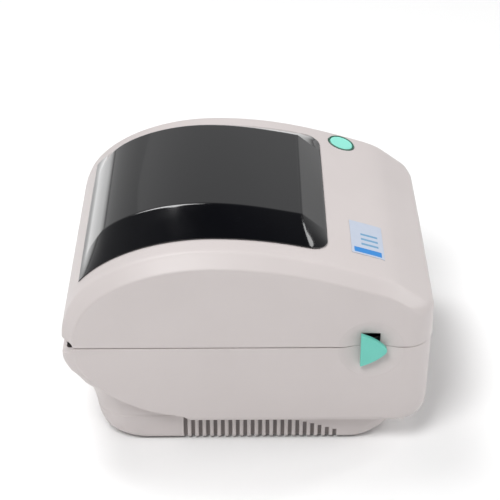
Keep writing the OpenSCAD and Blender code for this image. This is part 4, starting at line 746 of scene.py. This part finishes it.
# Main board: green glass-fibre board with darker tracks, chips in black resin and sleeved
# cans, held by four small screws. The data socket and the tear bar are bare stamped steel.
mask = moulded("solder_mask", (0.010, 0.075, 0.030), (0.016, 0.105, 0.044), 0.30, 900, 0.00004, 140)
place = mask.node_tree.nodes["Texture Coordinate"].outputs["Object"]
tracks = placed(mask.node_tree, "ShaderNodeTexBrick", Scale=60, Mortar_Size=0.03, Vector=place,
                Mortar=(0.03, 0.19, 0.09, 1), Color1=(0.012, 0.085, 0.034, 1),
                Color2=(0.016, 0.110, 0.046, 1))
finish_nodes(finished(mask, Base_Color=tracks.outputs["Color"]), "main_board", "button_board")
resin = moulded("chip_resin", (0.010, 0.010, 0.011), (0.020, 0.020, 0.022), 0.48, 1600, 0.00006)
chips = eased_copy("board_parts", "board_chips", 0.0003, resin)
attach(chips, "base")
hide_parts("board_parts")
board_top, board_hole_x, board_hole_ys = 0.02115, 0.051, (-0.020, 0.069)
board_spots = [(s * board_hole_x, y, board_top) for s in (-1, 1) for y in board_hole_ys]
screw_set("board_fixings", "board_screws", "base", board_spots, head_radius=0.0026, head_height=0.0014,
          length=0.006, turn=(math.radians(180), 0, 0))
finish_nodes(stamped, "usb_socket", "tear_bar")

# Cover moulding: the same light grey plastic, a domed roof with flat side faces, a bevel
# along both long edges, a sloped front and the cut-outs for window, button and exit.
cover_rise, crown, front_high, edge_soft, crease_soft = 0.0603, 0.002, 0.0216, 0.004, 0.005
bevel_wide, bevel_drop, bevel_soft, lip_up, lip_in = 0.008, 0.0068, 0.0015, 0.0032, 0.007
cover_foot, round_edge, foot_soft, front_from = parting_height + seam / 2, 0.0008, 0.0003, 0.09
roof_front_shares = [(-0.386, 0.662), (-0.228, 0.842), (-0.093, 1), (0.093, 1)]
roof_back_shares = [(0.093, 1), (0.270, 1), (0.419, 0.740), (0.469, 0.431)]
roof_rear_shares = [(0.469, 0.431), (0.4805, 0.36), (0.5, 0.225), (0.5, 0.053)]


def bent(shares, t, rise=cover_rise):
    """A point of a profile curve given in shares of the depth and of a rise."""
    weights = ((1 - t) ** 3, 3 * (1 - t) ** 2 * t, 3 * (1 - t) * t * t, t ** 3)
    return Vector((sum(w * p[0] for w, p in zip(weights, shares)) * casing_deep,
                   parting_height + sum(w * p[1] for w, p in zip(weights, shares)) * rise))


def inward(shares, t):
    """The direction into the casing at a point of a roof curve."""
    way = (bent(shares, min(1, t + 0.001)) - bent(shares, max(0, t - 0.001))).normalized()
    return Vector((way.y, -way.x))


slope_end = bent(roof_front_shares, 0)
front_slope = (slope_end.y - parting_height - front_high) / (slope_end.x + half_deep)
crease_from = slope_end - Vector((crease_soft, crease_soft * front_slope))
crease_to = bent(roof_front_shares, front_from)
cover_line = [Vector((-half_deep, parting_height + front_high))]
cover_line += [(1 - t) ** 2 * crease_from + 2 * t * (1 - t) * slope_end + t * t * crease_to
               for t in (k / 16 for k in range(16))]
cover_line += [bent(roof_front_shares, front_from + (1 - front_from) * k / 40) for k in range(40)]
cover_line += [bent(roof_back_shares, k / 40) for k in range(40)]
cover_line += [bent(roof_rear_shares, k / 24) for k in range(24)]


def line_height(y):
    """Height of the roof line at a depth."""
    for a, b in zip(cover_line, cover_line[1:]):
        if a.x <= y <= b.x:
            return a.y + (b.y - a.y) * (y - a.x) / max(1e-9, b.x - a.x)
    return cover_line[0].y if y < cover_line[0].x else cover_line[-1].y


def crown_at(x):
    return crown * (1 - (x / half_wide) ** 2)


def cover_top(x, y):
    return line_height(y) + crown_at(x)


def bevel_at(x, inset):
    """How far the bevel has taken the surface down at a distance from the middle, softly begun."""
    u, slope = abs(x) - (half_wide - inset - bevel_wide), bevel_drop / bevel_wide
    if u <= -bevel_soft:
        return 0
    return slope * (u + bevel_soft) ** 2 / (4 * bevel_soft) if u < bevel_soft else slope * u


slope_stop, blend_rate, crown_fade = -0.070, 1.6, 0.0075


def cover_section(x, inset, foot):
    """The cover's outline at a distance across: up the front, over the roof and down the rear."""
    radius = corner_radius - inset
    past = max(0, abs(x) - (half_wide - corner_radius))
    back = radius - math.sqrt(max(0, radius ** 2 - past ** 2))
    over = 0 if inset else max(0, abs(x) - (half_wide - round_edge))
    ease = round_edge - math.sqrt(max(0, round_edge ** 2 - over ** 2))
    drop, up = bevel_at(x, inset) + ease, crown_at(x)
    front, low, gain = -half_deep + inset + back + ease, foot + ease, inset + drop
    edge = (parting_height + front_high + (inset + back) * front_slope
            - inset * math.sqrt(1 + front_slope ** 2) - drop + up)
    section = [(front, low)]
    if not inset:
        section = [(front + foot_soft, low), (front + foot_soft * 0.3, low + foot_soft * 0.3),
                   (front, low + foot_soft)]
    section += [(front + edge_soft * t * t, edge - edge_soft * (1 - t) ** 2 + edge_soft * front_slope * t * t)
                for t in (k / 8 for k in range(9))]
    start = section[-1]
    shift = start[1] - (line_height(start[0]) + up)
    for t in (k / 18 for k in range(1, 19)):
        y = start[0] + (slope_stop - start[0]) * t
        section.append((y, line_height(y) + up + shift - (gain + shift) * min(1, t * blend_rate)))
    for k in range(26):
        p = bent(roof_front_shares, front_from + (1 - front_from) * k / 26)
        if p.x > slope_stop + 0.002:
            section.append((p.x, p.y - gain + up))
    for shares, count, last in ((roof_back_shares, 30, 30), (roof_rear_shares, 16, 17)):
        for t in (k / count for k in range(last)):
            p, way = bent(shares, t), inward(shares, t)
            fade = min(1, max(0, (half_deep - p.x) / crown_fade))
            section.append((p.x + way.x * gain, p.y + way.y * gain + up * fade))
    if inset:
        lip_slope = (lip_up - seam / 2) / lip_in
        lip_level = parting_height + lip_up + inset * math.sqrt(1 + lip_slope ** 2)
        inner = min(half_deep - lip_in - wall, half_deep - gain - 0.0005)
        section += [(y, lip_level + (y - half_deep) * lip_slope) for y in (half_deep - gain, inner)]
        section.append((inner, low))
    else:
        section.append((half_deep - lip_in - ease, low))
    return [(x, y, z) for y, z in section]


def mirrored(stations):
    return [-x for x in reversed(stations) if x > 0] + stations


flat_end = half_wide - corner_radius
stations = [0, 0.018, 0.036, 0.052, 0.064, 0.0695, flat_end]
stations += [flat_end + corner_radius * math.sin(math.radians(a))
             for a in (8, 16, 24, 30, 34, 37, 40, 46, 52, 58, 64, 70)]
stations = sorted(stations + [0.0882, 0.08845, 0.08865, 0.08882, 0.08894, half_wide])
inner_stations = [0, 0.03, 0.06, 0.071, 0.0755, 0.0785, 0.081, 0.0835, 0.0855, 0.0865]
cover_shell = stacked("cover_moulding", [cover_section(x, 0, cover_foot) for x in mirrored(stations)])
cover_hollow = stacked("cover_hollow", [cover_section(x, wall, parting_height - tool_over)
                                        for x in mirrored(inner_stations)])
cover_steps = [("DIFFERENCE", cover_hollow), ("UNION", dish_backs(cover_foot, back_high))]
carrier_spots, carrier_radius, carrier_low = [(0.052, -0.084), (0.052, -0.058)], 0.003, 0.1015
for x, y in carrier_spots:
    column = turned_ring("carrier_column", rod(carrier_radius, carrier_low, cover_top(x, y) - wall + 0.0005))
    cover_steps.append(("UNION", both(moved(column, Matrix.Translation((x, y, 0))))))
button_place, button_lean = (0.069, -0.0605, 0.12018), math.radians(16.992)
on_button = Matrix.Translation(button_place) @ Matrix.Rotation(button_lean, 4, "X")
post_radius, post_y, post_low, post_high = 0.002, 0.012, -0.01325, -0.00125
for y in (-post_y, post_y):
    post = turned_ring("board_post", rod(post_radius, post_low, post_high))
    cover_steps.append(("UNION", moved(post, on_button @ Matrix.Translation((0, y, 0)))))
pane_front_y, pane_rear_y, pane_half, pane_corner = -0.214 * casing_deep, 0.451 * casing_deep, 0.0685, 0.011
pane_seat = 0.003
hole_half, hole_radius = pane_half - pane_seat, pane_corner - pane_seat
hole_low, hole_high, corner_y = 0.0925, 0.155, pane_front_y + pane_seat + hole_radius
hole = [(hole_half - hole_radius + hole_radius * math.cos(a), corner_y + hole_radius * math.sin(a))
        for a in (math.radians(degrees) for degrees in range(-90, 1, 9))]
hole.append((hole_half, pane_rear_y - pane_seat))
hole += [(-x, y) for x, y in reversed(hole)]
window_hole = stacked("window_hole", [[(x, y, z) for x, y in hole] for z in (hole_low, hole_high)])
cover_steps.append(("DIFFERENCE", window_hole))
cover_steps += [("DIFFERENCE", tool) for tool in dish_tools()]
notch_low, notch_high = (0.06365, 0.0877, 0.0714), (0.07315, 0.10445, 0.078)
exit_low, exit_high, exit_edge = (-0.058, -0.1085, 0.0714), (0.058, -0.104, 0.082), 0.0006
cover_steps.append(("DIFFERENCE", both(block("arm_notch", notch_low, notch_high))))
cover_steps.append(("DIFFERENCE", block("label_exit", exit_low, exit_high, exit_edge)))
hole_profile = [(0, -0.01), (0.0088, -0.01), (0.0088, -0.0005), (0.0093, 0.0003), (0.0093, 0.005), (0, 0.005)]
cover_steps.append(("DIFFERENCE", moved(turned_ring("button_hole", hole_profile, 96), on_button)))
coated(smooth(work_on(cover_shell, cover_steps), 28), shell_plastic)
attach(cover_shell, "cover")
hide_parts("cover_shell")
carrier_seat = 0.0964
fixing_spots = [(s * x, y, carrier_seat) for s in (-1, 1) for x, y in carrier_spots]
screw_set("carrier_fixings", "carrier_screws", "cover", fixing_spots, head_radius=0.0028,
          head_height=0.0018, length=0.009)

# Window: smoked clear plastic, a high-gloss blow over the roll with a sloped flank at each
# side and a thin rounded rim that overlaps its seat in the cover.
pane_rise, pane_flat, pane_thick, pane_rim, pane_gap = cover_rise + 0.0124, 0.048, 0.0022, 0.0009, 0.00035
pane_front_shares = [(-0.1474, 0.897), (-0.056, 0.952), (0.023, 1), (0.116, 1)]
pane_back_shares = [(0.116, 1), (0.233, 1), (0.344, 0.883), (0.391, 0.745)]
pane_rear_shares = [(0.391, 0.745), (0.419, 0.642), (0.442, 0.518), (0.451, 0.4036)]
pane_line = [bent(pane_front_shares, k / 32, pane_rise) for k in range(32)]
pane_line += [bent(pane_back_shares, k / 16, pane_rise) for k in range(16)]
pane_line += [bent(pane_rear_shares, k / 10, pane_rise) for k in range(11)]


def pane_section(x):
    """Top and underside of the window at a distance across, as one loop."""
    run, soft = (abs(x) - pane_flat) / (pane_half - pane_flat), 0.03
    share = 0 if run <= -soft else ((run + soft) ** 2 / (4 * soft) if run < soft else min(1, run))
    past = max(0, abs(x) - (pane_half - pane_corner))
    foot = pane_front_y + pane_corner - math.sqrt(max(0, pane_corner ** 2 - past ** 2))
    hip = max(pane_line[0].x + (pane_front_y + pane_corner - pane_line[0].x) * share, foot + 0.00025)
    stretch = (pane_rear_y - hip) / (pane_rear_y - pane_line[0].x)
    body = []
    for p in pane_line:
        y = pane_rear_y - (pane_rear_y - p.x) * stretch
        low = cover_top(x, y) + pane_rim
        body.append((y, max(low, p.y + (low - p.y) * share)))
    edge = (foot, cover_top(x, foot) + pane_rim)
    rise = [(foot + (body[0][0] - foot) * t, edge[1] + (body[0][1] - edge[1]) * t)
            for t in (0.1, 0.2, 0.3, 0.4, 0.5, 0.6, 0.7, 0.8, 0.9, 0.97)]
    top = [edge] + rise + body
    under = [(y, max(z - pane_thick, cover_top(x, y) + pane_gap)) for y, z in top]
    return [(x, y, z) for y, z in top + under[::-1]]


pane_stations = [0, 0.016, 0.032, 0.040, 0.043, 0.0452, 0.0466, 0.0474, 0.0478, 0.0482, 0.0486, 0.0494,
                 0.0508, 0.0525, 0.0542, 0.056, 0.0575, 0.059, 0.0605, 0.0622, 0.064, 0.0655, 0.0668,
                 0.0677, 0.0682, pane_half]
pane_edge = 0.0003
window = stacked("window_pane", [pane_section(x) for x in mirrored(pane_stations)], stripped=True)
work = bmesh.new()
work.from_mesh(window.data)
eased(work, pane_edge, 50)
work.to_mesh(window.data)
work.free()
smoked = moulded("smoked_lens", (0.0020, 0.0022, 0.0034), (0.0026, 0.0028, 0.0042), 0.10, 60, 0.00002)
coated(smooth(window, 40), finished(smoked, Coat_Weight=0.6, Coat_Roughness=0.04))
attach(window, "cover")
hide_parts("window")

# Feed button: a mint acetal cap, slightly dished for the finger, on a stem that presses the
# key under it.
cap_profile = [(0, 0.0003), (0.004, 0.0004), (0.0064, 0.00062), (0.0070, 0.00055), (0.0074, 0.0003),
               (0.0075, -0.0001), (0.0075, -0.0025), (0.002, -0.0025), (0.002, -0.0085), (0, -0.0085)]
cap = moved(turned_ring("feed_cap", cap_profile, 96), on_button)
button_mint = moulded("button_mint", (0.255, 0.715, 0.600), (0.285, 0.770, 0.660), 0.34, 2000, 0.00005)
coated(smooth(cap), button_mint)
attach(cap, "button")
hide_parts("feed_button")

# Light ring round the feed button: dark green acrylic that lets the lamp's light through,
# with a rounded lip above the cover and a flange below it.
ring_in, ring_out, ring_low = 0.0078, 0.0087, -0.005
flange_out, flange_low, flange_high = 0.0097, -0.00455, -0.00355
ring_profile = [(ring_in, ring_low), (ring_in, 0.0002), (0.0080, 0.00055), (0.0084, 0.0006),
                (ring_out, 0.0003), (ring_out, flange_high), (flange_out, flange_high),
                (flange_out, flange_low), (ring_out, flange_low), (ring_out, ring_low), (ring_in, ring_low)]
ring = moved(turned_ring("light_ring", ring_profile, 96), on_button)
ring_green = moulded("ring_green", (0.030, 0.115, 0.080), (0.045, 0.150, 0.105), 0.30, 1800, 0.00004)
coated(smooth(ring), ring_green)
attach(ring, "cover")
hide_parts("button_ring")

# Print head: a ceramic strip under the sprung bracket, and its flat cable of grey strands,
# which stands on edge along the cover's arm.
ceramic = moulded("head_ceramic", (0.60, 0.57, 0.50), (0.68, 0.65, 0.58), 0.30, 1500, 0.00004)
finish_nodes(ceramic, "print_head")
ribbon = moulded("cable_ribbon", (0.55, 0.57, 0.60), (0.62, 0.64, 0.67), 0.5, 900, 0.00005)
banded(ribbon, "DIAGONAL", 160)
cable = eased_copy("head_cable", "flat_cable", 0.0001, ribbon)
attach(cable, "cover")
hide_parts("head_cable")

# Label: a thin glued film on the front slope, pale with one blue band and plain bars,
# laid on the cover's curve.
label_x, label_y, film, glue, rows = (-0.062, -0.028), (-0.079, -0.060), 0.0002, 0.0001, 12
label_loops = []
for i in range(rows + 1):
    x = label_x[0] + (label_x[1] - label_x[0]) * i / rows
    depth = [label_y[0] + (label_y[1] - label_y[0]) * j / rows for j in range(rows + 1)]
    over = [(x, y, cover_top(x, y) + glue + film) for y in depth]
    label_loops.append(over + [(x, y, z - film) for x, y, z in reversed(over)])
label = stacked("label_film", label_loops)
print_film = blank("label_print")
tree = print_film.node_tree
place = placed(tree, "ShaderNodeTexCoord").outputs["Object"]
split = placed(tree, "ShaderNodeSeparateXYZ", Vector=place).outputs
fibre = placed(tree, "ShaderNodeTexNoise", Vector=place, Scale=260).outputs["Fac"]
field = placed(tree, "ShaderNodeValToRGB", Fac=fibre)
field.color_ramp.elements[0].color = (0.47, 0.52, 0.62, 1)
field.color_ramp.elements[1].color = (0.51, 0.56, 0.66, 1)


def inside(axis, low, high):
    """One where the coordinate lies between two limits, else zero."""
    return reckoned(tree, "MULTIPLY", reckoned(tree, "GREATER_THAN", split[axis], low),
                    reckoned(tree, "LESS_THAN", split[axis], high))


def printed(below, ink, x_limits, y_limits):
    """Prints a bar of ink over the colour below."""
    share = reckoned(tree, "MULTIPLY", inside("X", *x_limits), inside("Y", *y_limits))
    coat = placed(tree, "ShaderNodeMix", {"data_type": "RGBA"}, Factor=share, A=below, B=ink)
    return coat.outputs["Result"]


band_ink, band_x, band_y = (0.035, 0.23, 0.60, 1), (-0.0605, -0.0555), (-0.0775, -0.0615)
bar_ink, bar_wide, bar_ends = (0.16, 0.34, 0.52, 1), 0.0020, (-0.0760, -0.0660)
colour = printed(field.outputs["Color"], band_ink, band_x, band_y)
for bar_x in (-0.0520, -0.0470, -0.0420):
    colour = printed(colour, bar_ink, (bar_x, bar_x + bar_wide), bar_ends)
coated(smooth(label), finished(print_film, Base_Color=colour, Roughness=0.35))
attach(label, "cover")
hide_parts("label_plate")

# The boxes of the solids and of the finished looks.
low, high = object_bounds()
